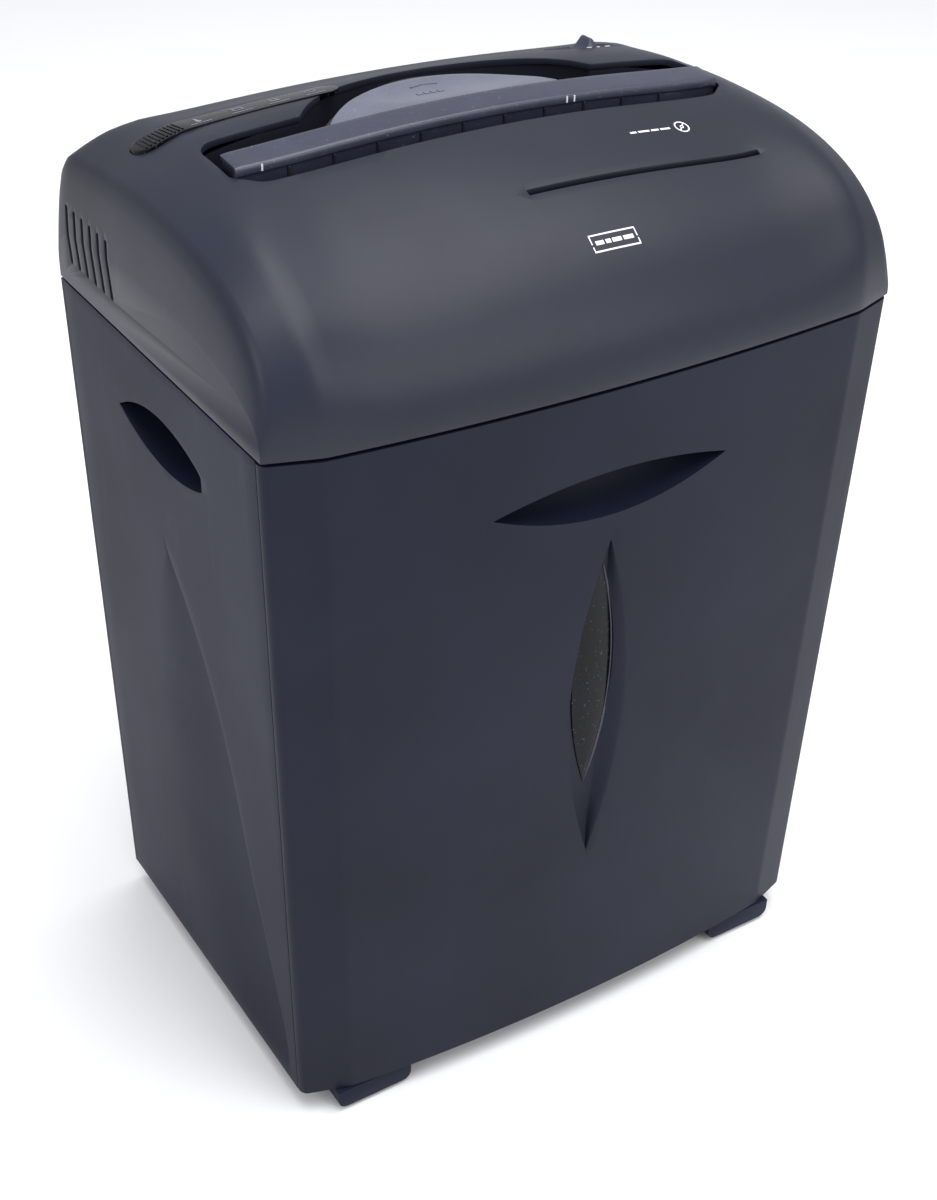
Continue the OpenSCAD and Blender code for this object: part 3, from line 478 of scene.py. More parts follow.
def headForm(inset, drop=0.0):
    form = skin(64, 50, lambda u, v: headPoint(u, v, inset))
    if drop:
        for vertex in form.verts:
            if vertex.co.z < headLow.z + 1e-6:
                vertex.co.z -= drop
    corners = {}
    rim = [e for e in form.edges if e.is_boundary]
    for vertex in {v for e in rim for v in e.verts}:
        if vertex.co.z < headLow.z + 1e-6:
            key = (vertex.co.x > 0, vertex.co.y > 0)
            if key not in corners or abs(vertex.co.x) > abs(corners[key].co.x):
                corners[key] = vertex
    ties = [form.edges.new((corners[(side, False)], corners[(side, True)])) for side in (False, True)]
    edgeX = max(abs(v.co.x) for v in form.verts) - 1e-6
    for side, tie in zip((-1, 1), ties):
        loop = [e for e in rim if all(v.co.x * side > edgeX for v in e.verts)]
        bmesh.ops.contextual_create(form, geom=loop + [tie])
    bottom = [e for e in rim if all(v.co.z < headLow.z + 1e-6 for v in e.verts)]
    bmesh.ops.contextual_create(form, geom=bottom + ties)
    bmesh.ops.recalc_face_normals(form, faces=form.faces)
    return form


wellLow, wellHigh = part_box("finger_well")
flapLow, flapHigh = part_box("throat_flap")
lensLow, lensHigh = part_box("control_lens")
knobLow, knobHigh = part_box("mode_knob")
throat = {
    "lipY": flapLow.y - 9 * mm,
    "flapY": flapLow.y,
    "lipHalf": 119 * mm,
    "wellHalf": wellHigh.x - 2 * mm,
    "stepY": flapLow.y + 35 * mm,
    "backY": flapLow.y + 72 * mm,
    "scoopHalf": 77 * mm,
    "wellCorner": 9 * mm,
    "slotX": 48 * mm,
    "slotY": flapLow.y - 51 * mm,
    "slotLength": 126 * mm,
    "slotGap": 3 * mm,
}


# heights that a cutter spans to open the top of the head
through = {"low": 0.42, "well": 0.43, "high": 0.48, "wellHigh": 0.49}


def wellPoints(grow):
    # the opening over the throat and the finger well
    half = throat["wellHalf"] + grow
    corner = throat["wellCorner"]
    lip = throat["lipHalf"] + grow
    front = throat["lipY"] - grow
    step = throat["stepY"] + grow
    scoop = throat["scoopHalf"] + grow
    back = throat["backY"] + grow
    side = [(lip - 5 * mm, front), (lip - 1.5 * mm, front + 0.7 * mm), (lip + 1 * mm, front + 2.6 * mm)]
    side += [(half - 1.5 * mm, throat["flapY"] - 1.5 * mm), (half, throat["flapY"] + 1.5 * mm)]
    for angle in range(0, 91, 15):
        turn = math.radians(angle)
        side.append((half - corner * (1 - math.cos(turn)), step - corner * (1 - math.sin(turn))))
    rise = back - step
    radius = (scoop * scoop + rise * rise) / (2 * rise)
    reach = math.asin(scoop / radius)
    arc = []
    for number in range(12, -13, -1):
        turn = reach * number / 12
        arc.append((radius * math.sin(turn), back - radius * (1 - math.cos(turn))))
    return side + arc + [(-x, y) for x, y in reversed(side)]


shell = keep("headShell", headForm(0.0), "shell_head", "machine")
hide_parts("head_cover")
carve(shell, headForm(head["wall"], 1 * mm))
carve(shell, prism(wellPoints(0.0), 2, through["well"], through["wellHigh"]))
slotX, slotY = throat["slotX"], throat["slotY"]
discSlot = stadium(throat["slotLength"], throat["slotGap"], 0.6 * mm, 3)
carve(shell, prism(shifted(discSlot, slotX, slotY), 2, through["low"], through["high"]))
lensX, lensY = (lensLow.x + lensHigh.x) / 2, (lensLow.y + lensHigh.y) / 2
lensWide, lensDeep = lensHigh.x - lensLow.x, lensHigh.y - lensLow.y
lensGap = 0.6 * mm
pocket = stadium(lensWide + lensGap, lensDeep + lensGap, lensDeep / 2, 10)
carve(shell, prism(shifted(pocket, lensX, lensY), 2, through["well"], through["high"]))

knob = {
    "x": (knobLow.x + knobHigh.x) / 2,
    "y": (knobLow.y + knobHigh.y) / 2,
    "dishWide": 48 * mm,
    "dishDeep": 15 * mm,
    "depth": 1.6 * mm,
    "leanY": 4,
    "leanX": -7,
}
knob["z"] = headHeight(knob["x"], knob["y"])


def tipped(form, x, y, z):
    # lays a form made about the origin on the head's slope beside the knob
    sideways = Matrix.Rotation(math.radians(knob["leanY"]), 4, "Y")
    forwards = Matrix.Rotation(math.radians(knob["leanX"]), 4, "X")
    turn = Matrix.Translation((x, y, z)) @ sideways @ forwards
    bmesh.ops.transform(form, matrix=turn, verts=form.verts)
    return form


dishPoints = stadium(knob["dishWide"], knob["dishDeep"], knob["dishDeep"] / 2 - 0.1 * mm, 10)
dish = prism(dishPoints, 2, -knob["depth"], 9 * mm)
carve(shell, tipped(dish, knob["x"], knob["y"], knob["z"]))
track = prism(stadium(20 * mm, 5 * mm, 1.2 * mm, 4), 2, -8 * mm, 4 * mm)
carve(shell, tipped(track, knob["x"], knob["y"], knob["z"]))

vents = {
    "count": 6,
    "firstY": head["backY"] - 15 * mm,
    "step": 9.1 * mm,
    "z": seamZ + 26 * mm,
    "tall": 27 * mm,
    "wide": 2.8 * mm,
    "lean": -10,
}
slots = []
for side in (-1, 1):
    for number in range(vents["count"]):
        ventY = vents["firstY"] - vents["step"] * number
        slit = prism(stadium(vents["wide"], vents["tall"], 1.2 * mm, 4), 0, -8 * mm, 8 * mm)
        bmesh.ops.rotate(slit, matrix=Matrix.Rotation(math.radians(vents["lean"]), 3, "X"), verts=slit.verts)
        bmesh.ops.translate(slit, vec=(side * head["half"], ventY, vents["z"]), verts=slit.verts)
        slots.append(slit)
carve(shell, gather(slots))
glandLow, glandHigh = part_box("power_gland")
glandX, glandZ = (glandLow.x + glandHigh.x) / 2, (glandLow.z + glandHigh.z) / 2
hole = bmesh.new()
bore = 6.1 * mm
bmesh.ops.create_cone(hole, cap_ends=True, segments=32, radius1=bore, radius2=bore, depth=30 * mm)
bmesh.ops.rotate(hole, matrix=Matrix.Rotation(math.radians(90), 3, "X"), verts=hole.verts)
bmesh.ops.translate(hole, vec=(glandX, head["backY"], glandZ), verts=hole.verts)
carve(shell, hole)
soften(shell, 0.5 * mm, 2, 40)
print("the head shell is cut")


# small things laid on the head's skin

def strip(x0, y0, x1, y1, width, rise, lift=headHeight, thick=0.4 * mm):
    # a thin bar from one place to another, following the surface
    along = Vector((x1 - x0, y1 - y0))
    across = Vector((-along.y, along.x)).normalized() * width
    pieces = max(1, int(along.length / (4 * mm)))

    def spot(u, v):
        x = x0 + along.x * u + across.x * (v - 0.5)
        y = y0 + along.y * u + across.y * (v - 0.5)
        return (x, y, lift(x, y) + rise)

    form = skin(pieces, 1, spot)
    return thicken(form, thick)


def thicken(form, depth):
    # gives an upward-facing patch a thickness downwards
    bmesh.ops.recalc_face_normals(form, faces=form.faces)
    if sum(f.normal.z for f in form.faces) < 0:
        bmesh.ops.reverse_faces(form, faces=form.faces)
    drawn = bmesh.ops.extrude_face_region(form, geom=form.faces[:], use_keep_orig=True)
    lowered = [v for v in drawn["geom"] if isinstance(v, bmesh.types.BMVert)]
    bmesh.ops.translate(form, verts=lowered, vec=(0, 0, depth))
    for vertex in form.verts:
        vertex.co.z -= depth
    bmesh.ops.recalc_face_normals(form, faces=form.faces)
    return form


def ring(x, y, inner, outer, rise, start=0.0, sweep=360.0):
    def spot(u, v):
        turn = math.radians(start + sweep * u)
        reach = inner + (outer - inner) * v
        px, py = x + reach * math.cos(turn), y + reach * math.sin(turn)
        return (px, py, headHeight(px, py) + rise)

    form = skin(max(4, int(sweep / 12)), 1, spot)
    bmesh.ops.remove_doubles(form, verts=form.verts, dist=1e-6)
    return thicken(form, 0.4 * mm)


def frameOf(x, y, wide, tall, line, rise, tilt=0.0):
    # four bars as a box
    along = Vector((math.cos(tilt), math.sin(tilt)))
    across = Vector((-along.y, along.x))
    forms = []
    for sign in (-1, 1):
        middle = Vector((x, y)) + across * sign * (tall - line) / 2
        first, second = middle - along * wide / 2, middle + along * wide / 2
        forms.append(strip(first.x, first.y, second.x, second.y, line, rise))
        middle = Vector((x, y)) + along * sign * (wide - line) / 2
        first, second = middle - across * (tall / 2 - line), middle + across * (tall / 2 - line)
        forms.append(strip(first.x, first.y, second.x, second.y, line, rise))
    return forms


# the lens with its ribs and signs
cover = {"sink": 0.15 * mm, "thick": 2.2 * mm}


def coverSpot(u, v):
    # a patch a little larger than the lens, cut to its outline below
    x = lensLow.x + (u * 1.1 - 0.05) * lensWide
    y = lensLow.y + (v * 1.2 - 0.1) * lensDeep
    return (x, y, headHeight(x, y) - cover["sink"])


lensForm = skin(50, 8, coverSpot)
lensPiece = keep("lensCover", thicken(lensForm, cover["thick"]), "smoked_lens", "machine")
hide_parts("control_lens")
coverPoints = shifted(stadium(lensWide, lensDeep, lensDeep / 2 - 0.2 * mm, 10), lensX, lensY)
carve(lensPiece, prism(coverPoints, 2, through["low"], through["high"]), "INTERSECT")
soften(lensPiece, 0.3 * mm, 2, 50)

ribs = {"count": 10, "firstX": lensLow.x + 4.5 * mm, "step": 1.9 * mm, "wide": 0.8 * mm, "proud": 0.25 * mm}
ribForms = []
for number in range(ribs["count"]):
    ribX = ribs["firstX"] + ribs["step"] * number
    bulge = math.sqrt(max(0.0, 1 - (max(0.0, lensLow.x + 8 * mm - ribX) / (8 * mm)) ** 2))
    reach = (lensDeep / 2 - 2.2 * mm) * bulge
    ribForms.append(strip(ribX, lensY - reach, ribX, lensY + reach, ribs["wide"], ribs["proud"]))
keep("lensRibs", gather(ribForms), "smoked_lens", "machine")

signs = {"xs": [-113 * mm, -93 * mm, -75 * mm, -57 * mm], "line": 0.55 * mm, "proud": 0.02 * mm}
line, proud = signs["line"], signs["proud"]
signForms = []
for signX in signs["xs"]:
    signForms.append(strip(signX - 5 * mm, lensY - 5 * mm, signX + 5 * mm, lensY - 5 * mm, 0.6 * mm, proud))
first, second, third, fourth = signs["xs"]
signForms.append(strip(first, lensY - 1.5 * mm, first, lensY + 3.4 * mm, 1.2 * mm, proud))
signForms.append(ring(first, lensY - 1.8 * mm, 0.1 * mm, 1.3 * mm, proud + 0.01 * mm))
signForms += frameOf(second, lensY + 0.6 * mm, 5 * mm, 4 * mm, line, proud)
signForms.append(strip(second - 3.2 * mm, lensY + 3.6 * mm, second + 3.2 * mm, lensY + 3.6 * mm, line, proud))
signForms += frameOf(third, lensY + 0.8 * mm, 3.6 * mm, 5 * mm, line, proud)
basketY = lensY - 0.6 * mm
signForms.append(strip(third - 2.8 * mm, basketY, third + 2.8 * mm, basketY, line, proud + 0.01 * mm))
signForms.append(ring(fourth, lensY + 0.8 * mm, 1.9 * mm, 2.5 * mm, proud, 115, 310))
signForms.append(strip(fourth, lensY + 1.2 * mm, fourth, lensY + 4.2 * mm, line, proud + 0.01 * mm))
keep("lensSigns", gather(signForms), "smoked_lens", "machine", paleInk)

# printed marks: the disc sign, its bars, the box label and the slider's marks
printed = {"proud": 0.05 * mm, "line": 0.6 * mm, "discX": 83 * mm, "discY": -31 * mm}
line, proud = printed["line"], printed["proud"]
discX, discY = printed["discX"], printed["discY"]
marks = [ring(discX, discY, 3.0 * mm, 3.7 * mm, proud), ring(discX, discY, 0.5 * mm, 1.0 * mm, proud)]
marks.append(strip(discX - 2.3 * mm, discY - 2.3 * mm, discX - 0.8 * mm, discY - 0.8 * mm, line, proud))
marks.append(strip(discX + 0.8 * mm, discY + 0.8 * mm, discX + 2.3 * mm, discY + 2.3 * mm, line, proud))
for start, length in ((-29, 3.4), (-24.6, 6.2), (-17.4, 4.2), (-12.2, 5.4)):
    marks.append(strip(discX + start * mm, discY, discX + (start + length) * mm, discY, 1.1 * mm, proud))
labelX, labelY = 12 * mm, -80 * mm
marks += frameOf(labelX, labelY, 24 * mm, 6.6 * mm, 0.55 * mm, proud)
for start, length in ((-9.8, 4.2), (-4.6, 2.6), (-1.2, 4.8), (4.6, 5.2)):
    marks.append(strip(labelX + start * mm, labelY, labelX + (start + length) * mm, labelY, 1.5 * mm, proud))
for number, wide in enumerate((2.6, 1.4, 2.6)):
    markX = knob["x"] - 5.5 * mm + 5.5 * mm * number
    markY = knob["y"] - 10 * mm
    marks.append(strip(markX - wide / 2 * mm, markY, markX + wide / 2 * mm, markY, 0.9 * mm, proud))
keep("printedMarks", gather(marks), "shell_head", "machine", printInk)
print("the lens, signs and marks are laid on")

# the knob: a ridge with hollow flanks
ridge = [(-6.5, 0.3), (-4.4, 0.9), (-2.9, 2.2), (-1.9, 4.2), (-1.3, 5.6), (-0.5, 6.4)]
ridge += [(-x, z) for x, z in reversed(ridge)]
knobTall = 6.4 * mm
knobBase = knobHigh.z - knobTall
knobForm = prism([(knob["x"] + x * mm, knobBase + z * mm) for x, z in ridge], 1, knobLow.y, knobHigh.y)
for vertex in knobForm.verts:
    height = (vertex.co.z - knobBase) / knobTall
    vertex.co.y = knob["y"] + (vertex.co.y - knob["y"]) * (1 - 0.4 * max(0.0, height))
stemLow = (knob["x"] - 2.6 * mm, knob["y"] - 2 * mm, knobLow.z)
stemHigh = (knob["x"] + 2.6 * mm, knob["y"] + 2 * mm, knobBase + 1 * mm)
knobPiece = keep("sliderKnob", knobForm, "flap_plastic", "knob")
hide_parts("mode_knob")
carve(knobPiece, block(stemLow, stemHigh), "UNION")
soften(knobPiece, 0.35 * mm, 2, 30)
track = prism(stadium(26 * mm, 9 * mm, 2 * mm, 6), 2, -3.4 * mm, -2.4 * mm)
keep("sliderSlot", tipped(track, knob["x"], knob["y"], knob["z"]), "black_plastic", "machine")


# the throat and its flap

flap = {
    "half": flapHigh.x,
    "rise": 3 * mm,
    "thick": 2 * mm,
    "deep": 15 * mm,
    "low": flapLow.z,
    "ribs": 10,
}


def flapTop(x, y):
    return min(headHeight(x, y) + flap["rise"], flapHigh.z - 0.02 * mm)


# the flap's section as depth and drop: wall, rounded lower edge, face, rounded top edge
flapRows = [(1.1, -25.0), (1.1, -5.2), (1.0, -4.7), (0.3, -4.1), (0.05, -3.7), (0.0, -3.2)]
flapRows += [(0.0, -1.6), (0.1, -0.9), (0.4, -0.35), (0.9, -0.1), (1.5, 0.0)]
flapRows += [(1.5 + 13.3 * step / 6, 0.0) for step in range(1, 7)]


def flapSpot(u, v):
    x = (2 * u - 1) * flap["half"]
    depth, drop = flapRows[round(v * (len(flapRows) - 1))]
    y = throat["flapY"] + depth * mm
    z = flapTop(x, y) + drop * mm
    return (x, y, max(z, flap["low"]) if drop > -20 else flap["low"])


flapForm = skin(72, len(flapRows) - 1, flapSpot)
bmesh.ops.recalc_face_normals(flapForm, faces=flapForm.faces)
if sum(f.normal.z for f in flapForm.faces) < 0:
    bmesh.ops.reverse_faces(flapForm, faces=flapForm.faces)
flapPiece = keep("throatLid", flapForm, "flap_plastic", "flap")
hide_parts("throat_flap")
wall = flapPiece.modifiers.new("wall", "SOLIDIFY")
wall.thickness = flap["thick"]
wall.offset = -1
settle(flapPiece)
soften(flapPiece, 0.25 * mm, 2, 50)

lidParts = []
pinLow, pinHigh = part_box("flap_pins")
pinY, pinZ = (pinLow.y + pinHigh.y) / 2, (pinLow.z + pinHigh.z) / 2
for side in (-1, 1):
    cheekTop = flapTop(flap["half"] - 3 * mm, throat["flapY"] + 8 * mm) - 1.6 * mm
    cheek = prism([
        (throat["flapY"] + 1.5 * mm, flap["low"]),
        (pinY + 3.5 * mm, pinZ - 3 * mm),
        (pinY + 4 * mm, pinZ + 2 * mm),
        (throat["flapY"] + 14 * mm, cheekTop),
        (throat["flapY"] + 1.5 * mm, cheekTop),
    ], 0, side * (flap["half"] - 7 * mm), side * (flap["half"] - 0.4 * mm))
    lidParts.append(roundEdges(cheek, 0.4 * mm))
ribHalf = 0.55 * mm
for number in range(flap["ribs"]):
    ribX = (number - (flap["ribs"] - 1) / 2) * 21.4 * mm - 4 * mm
    lowZ = flap["low"] + 2 * mm
    highZ = flapTop(ribX, throat["flapY"]) - 4.4 * mm
    ribLow = (ribX - ribHalf, throat["flapY"] + 0.1 * mm, lowZ)
    ribHigh = (ribX + ribHalf, throat["flapY"] + 1.6 * mm, highZ)
    lidParts.append(roundEdges(block(ribLow, ribHigh), 0.25 * mm))
keep("lidCheeksAndRibs", gather(lidParts), "flap_plastic", "flap", finishes["inner_plastic"])

tick = {"xs": (-113 * mm, 39.5 * mm, 43.5 * mm), "half": 0.4 * mm, "tall": 2.9 * mm}
tickForms = []
for tickX in tick["xs"]:
    tickTop = flapTop(tickX, throat["flapY"]) - 0.5 * mm
    tickLow = (tickX - tick["half"], throat["flapY"] - 0.04 * mm, tickTop - tick["tall"])
    tickHigh = (tickX + tick["half"], throat["flapY"] + 0.8 * mm, tickTop)
    tickForms.append(block(tickLow, tickHigh))
keep("flapTicks", gather(tickForms), "flap_plastic", "flap", printInk)

# the smoky crescent behind the flap's edge
tabLow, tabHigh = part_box("flap_tab")
tab = {
    "x": (tabLow.x + tabHigh.x) / 2,
    "half": (tabHigh.x - tabLow.x) / 2,
    "front": tabLow.y,
    "deep": tabHigh.y - tabLow.y,
    "thick": 1.8 * mm,
    "hollow": 0.9 * mm,
}
tabRadius = (tab["half"] ** 2 + tab["deep"] ** 2) / (2 * tab["deep"])


def tabHeight(x, y):
    # the tab's top dips gently between its front and its curved edge
    hollow = tab["hollow"] * math.sin(math.pi * max(0.0, (y - tab["front"]) / tab["deep"]))
    return flapTop(x, y) - 0.1 * mm - hollow


def tabSpot(u, v):
    reach = (2 * u - 1) * (tab["half"] - 0.6 * mm)
    deep = math.sqrt(tabRadius ** 2 - reach ** 2) - tabRadius + tab["deep"]
    x = tab["x"] + reach
    y = tab["front"] - 4 * mm + (deep + 4 * mm) * v
    return (x, y, tabHeight(x, y))


tabForm = thicken(skin(48, 12, tabSpot), tab["thick"])
tabPiece = keep("crescentTab", tabForm, "smoked_tab", "flap", None, 50)
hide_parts("flap_tab")
soften(tabPiece, 0.45 * mm, 3, 50)


tabMarks = []
for number in range(4):
    barX = tab["x"] - 2 * mm + (number - 1.5) * 3.6 * mm
    barY = tab["front"] + 12 * mm
    tabMarks.append(strip(barX - 1.3 * mm, barY, barX + 1.3 * mm, barY, 2.4 * mm, 0.25 * mm, tabHeight))
wingY, peakY = tab["front"] + 21 * mm, tab["front"] + 22.5 * mm
tabMarks.append(strip(tab["x"] - 7 * mm, wingY, tab["x"], peakY, 0.9 * mm, 0.3 * mm, tabHeight))
tabMarks.append(strip(tab["x"], peakY, tab["x"] + 7 * mm, wingY, 0.9 * mm, 0.3 * mm, tabHeight))
keep("tabMarks", gather(tabMarks), "smoked_tab", "flap")

# the front guide: a ledge below the lip, split by notches with thin fins
guideLow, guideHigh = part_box("throat_front_guide")
guide = {"half": guideHigh.x, "sink": 3.3 * mm, "notches": 11, "notchHalf": 1.1 * mm, "fin": 0.5 * mm}
# the guide's section as depth and drop: ledge, rounded nose, rib face, wall
guideRows = [(-2.1, 0.0), (-0.4, 0.0), (0.6, -0.1), (1.6, -0.35), (2.1, -0.6), (2.4, -1.0)]
guideRows += [(2.5, -1.5), (2.5, -5.0), (2.4, -13.0), (0.3, -15.0), (0.0, -17.0), (0.0, -60.0)]


def guideSpot(u, v):
    x = (2 * u - 1) * guide["half"]
    depth, drop = guideRows[round(v * (len(guideRows) - 1))]
    y = throat["lipY"] + depth * mm
    z = headHeight(x, throat["lipY"] + 1 * mm) - guide["sink"] + drop * mm
    return (x, y, z if drop > -50 else guideLow.z)


guideForm = skin(66, len(guideRows) - 1, guideSpot)
bmesh.ops.recalc_face_normals(guideForm, faces=guideForm.faces)
if sum(f.normal.y for f in guideForm.faces) < 0:
    bmesh.ops.reverse_faces(guideForm, faces=guideForm.faces)
guidePiece = keep("notchedGuide", guideForm, "inner_plastic", "machine", finishes["flap_plastic"])
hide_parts("throat_front_guide")
wall = guidePiece.modifiers.new("wall", "SOLIDIFY")
wall.thickness = 1.9 * mm
wall.offset = -1
settle(guidePiece)
leverLow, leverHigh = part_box("sensor_lever")
leverGapLow = (leverLow.x - 1 * mm, throat["lipY"] - 5 * mm, leverLow.z)
leverGapHigh = (leverHigh.x + 1 * mm, throat["lipY"] + 5 * mm, through["wellHigh"])
cuts = [block(leverGapLow, leverGapHigh)]
fins = []
for number in range(guide["notches"]):
    notchX = -guide["half"] + 7 * mm + number * (2 * guide["half"] - 28 * mm) / (guide["notches"] - 1)
    if leverLow.x - 5 * mm < notchX < leverHigh.x + 5 * mm:
        continue
    notchLow = (notchX - guide["notchHalf"], throat["lipY"] - 0.6 * mm, wellLow.z)
    notchHigh = (notchX + guide["notchHalf"], throat["lipY"] + 5 * mm, through["wellHigh"])
    cuts.append(block(notchLow, notchHigh))
    top = headHeight(notchX, throat["lipY"]) - guide["sink"] + 0.5 * mm
    finLow = (notchX - guide["fin"], throat["lipY"] - 1.9 * mm, top - 14 * mm)
    fin = block(finLow, (notchX + guide["fin"], throat["lipY"] + 2.6 * mm, top))
    fins.append(roundEdges(fin, 0.2 * mm))
carve(guidePiece, gather(cuts), crossing=True)
soften(guidePiece, 0.25 * mm, 2, 50)
keep("guideFins", gather(fins), "inner_plastic", "machine", finishes["flap_plastic"])
print("the throat is in")


# the cabinet and the bin

binLow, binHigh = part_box("bin_front")
leftLow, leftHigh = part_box("side_panel_left")
cabinet = {
    "low": leftLow.z,
    "high": leftHigh.z,
    "taper": 9 * mm,
    "tall": 364 * mm,
    "wall": 3 * mm,
    "cornerRound": 5 * mm,
    "seamY": leftLow.y,
    "backY": leftHigh.y,
    "gap": 0.6 * mm,
}
cornerY = head["creaseY"] + head["facetDepth"]


def halfWidth(z):
    return head["half"] - cabinet["taper"] * (seamZ - z) / cabinet["tall"]


def stretchOf(*runs):
    # places along a line: each run is (start, end, pieces)
    places = [runs[0][0]]
    for start, end, pieces in runs:
        places += [start + (end - start) * (step + 1) / pieces for step in range(pieces)]
    return places


def binPlan(s, wide):
    # s from 0 at the middle of the front to 1 at the seam beside the side panel
    flatHalf = wide - head["facetWidth"]
    if s <= 0.6:
        x = flatHalf * s / 0.6
        return x, head["creaseY"] - head["bow"] * (1 - (s / 0.6) ** 2)
    roundness = cabinet["cornerRound"]
    facetTurn = math.atan2(head["facetDepth"], head["facetWidth"])
    tangent = roundness * math.tan((math.pi / 2 - facetTurn) / 2)
    startX = wide - tangent * math.cos(facetTurn)
    startY = cornerY - tangent * math.sin(facetTurn)
    if s <= 0.75:
        way = (s - 0.6) / 0.15
        return flatHalf + (startX - flatHalf) * way, head["creaseY"] + (startY - head["creaseY"]) * way
    if s <= 0.95:
        turn = -(math.pi / 2 - facetTurn) * (1 - (s - 0.75) / 0.2)
        return wide - roundness + roundness * math.cos(turn), cornerY + tangent + roundness * math.sin(turn)
    way = (s - 0.95) / 0.05
    return wide, cornerY + tangent + (cabinet["seamY"] - cabinet["gap"] - cornerY - tangent) * way


# columns bunch up at the creases: bow, facet, rounded corner, return
halfRun = stretchOf(
    (0.0, 0.58, 18),
    (0.58, 0.6, 2),
    (0.6, 0.61, 1),
    (0.61, 0.75, 4),
    (0.75, 0.95, 8),
    (0.95, 1.0, 1),
)
frontRun = [-s for s in reversed(halfRun[1:])] + halfRun


def frontSpot(u, v):
    s = frontRun[round(u * (len(frontRun) - 1))]
    z = binLow.z + (binHigh.z - binLow.z) * v
    x, y = binPlan(abs(s), halfWidth(z))
    return (math.copysign(x, s), y, z)


def turnOutwards(form, axis, sign):
    # flips an open skin whose faces mostly look the wrong way
    bmesh.ops.recalc_face_normals(form, faces=form.faces)
    if sign * sum(f.normal[axis] * f.calc_area() for f in form.faces) < 0:
        bmesh.ops.reverse_faces(form, faces=form.faces)
    return form


def giveWall(thing, thick):
    wall = thing.modifiers.new("wall", "SOLIDIFY")
    wall.thickness = thick
    wall.offset = -1
    wall.use_even_offset = True
    settle(thing)


frontForm = turnOutwards(skin(len(frontRun) - 1, 48, frontSpot), 1, -1)
frontPiece = keep("binFrontShell", frontForm, "shell_bin", "bin")
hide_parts("bin_front")
giveWall(frontPiece, cabinet["wall"])

scoop = {
    "z": seamZ - 49 * mm,
    "wide": 126 * mm,
    "up": 8.5 * mm,
    "down": 14 * mm,
    "deep": 24 * mm,
    "undercut": 1.6 * mm,
    "wall": 2 * mm,
}
frontY = head["creaseY"] - head["bow"]


def sewn(form):
    # joins a wrapped skin into a closed form
    bmesh.ops.remove_doubles(form, verts=form.verts, dist=1e-5)
    bmesh.ops.dissolve_degenerate(form, dist=1e-6, edges=form.edges)
    bmesh.ops.recalc_face_normals(form, faces=form.faces)
    return form


def scoopForm(grow):
    # the lens-shaped scoop: its floor curves up to the back, under an undercut lip
    across = stretchOf((-1.0, -0.9, 4), (-0.9, 0.9, 26), (0.9, 1.0, 4))
    around, floorEnd = 22, 18

    def spot(u, v):
        a = across[round(u * (len(across) - 1))]
        half = scoop["wide"] / 2 + grow * 1.5
        fade = 1 - a * a
        low = scoop["z"] - (scoop["down"] + grow) * fade
        high = scoop["z"] + (scoop["up"] + grow) * fade
        roof = high + scoop["undercut"] * fade
        deep = (scoop["deep"] + grow) * math.sqrt(max(0.0, fade)) * 0.96
        x = a * half
        face = head["creaseY"] - head["bow"] * (1 - (x / (halfWidth(scoop["z"]) - head["facetWidth"])) ** 2)
        start = face - 8 * mm
        if grow > 0:
            # the wall behind the scoop begins inside the front's own wall
            face += 1 * mm
            start = face
        step = round(v * around)
        if step in (0, around):
            return (x, start, high)
        if step == 1:
            return (x, start, low)
        if step <= floorEnd:
            turn = math.radians(90 * (step - 2) / (floorEnd - 2))
            return (x, face + deep * math.sin(turn), roof - (roof - low) * math.cos(turn))
        lip = (step - floorEnd) / 3
        return (x, face + deep * (1 - lip), high + (roof - high) * (1 - lip))

    return sewn(skin(len(across) - 1, around, spot))


leaf = {
    "z": seamZ - 168 * mm,
    "tall": 184 * mm,
    "wide": 33 * mm,
    "deep": 5 * mm,
    "windowX": -2 * mm,
    "windowTall": 132 * mm,
    "windowWide": 22 * mm,
    "wallEnd": 0.12,
    "floorEnd": 0.66,
    "tip": 0.22,
    "bowHalf": 0.14,
}
leaf["windowZ"] = leaf["z"] + 16 * mm


def leafForm():
    # the leaf-shaped recess: a flat floor, then a hollow ramp on its right
    rows = stretchOf((-1.0, -0.94, 4), (-0.94, 0.94, 40), (0.94, 1.0, 4))
    across = stretchOf((0.0, 0.05, 1), (0.05, 0.12, 4), (0.12, 0.66, 4), (0.66, 0.72, 3), (0.72, 1.0, 10))

    def spot(u, v):
        r = rows[round(v * (len(rows) - 1))]
        half = leaf["wide"] / 2 * (1 - abs(r) ** 1.9)
        place = round(u * (len(across) + 2))
        z = leaf["z"] + leaf["tall"] / 2 * r
        if place == 0 or place > len(across):
            return ((half if place == len(across) + 1 else -half), frontY - 8 * mm, z)
        q = across[place - 1]
        if q < leaf["wallEnd"]:
            dip = math.sin(math.pi / 2 * q / leaf["wallEnd"])
        elif q < leaf["floorEnd"]:
            dip = 1.0
        else:
            dip = 0.5 + 0.5 * math.cos(math.pi * ((q - leaf["floorEnd"]) / (1 - leaf["floorEnd"])) ** 0.8)
        x = -half + 2 * half * q
        face = head["creaseY"] - head["bow"] * (1 - (x / leaf["bowHalf"]) ** 2)
        deep = leaf["deep"] * min(1.0, (1 - abs(r)) / leaf["tip"]) ** 0.6
        return (x, face + deep * dip, z)

    return sewn(skin(len(across) + 2, len(rows) - 1, spot))


def uprightLens(tall, half, x, z):
    # a leaf outline standing on end
    return shifted([(b, a) for a, b in lensPoints(tall, half, half)], x, z)


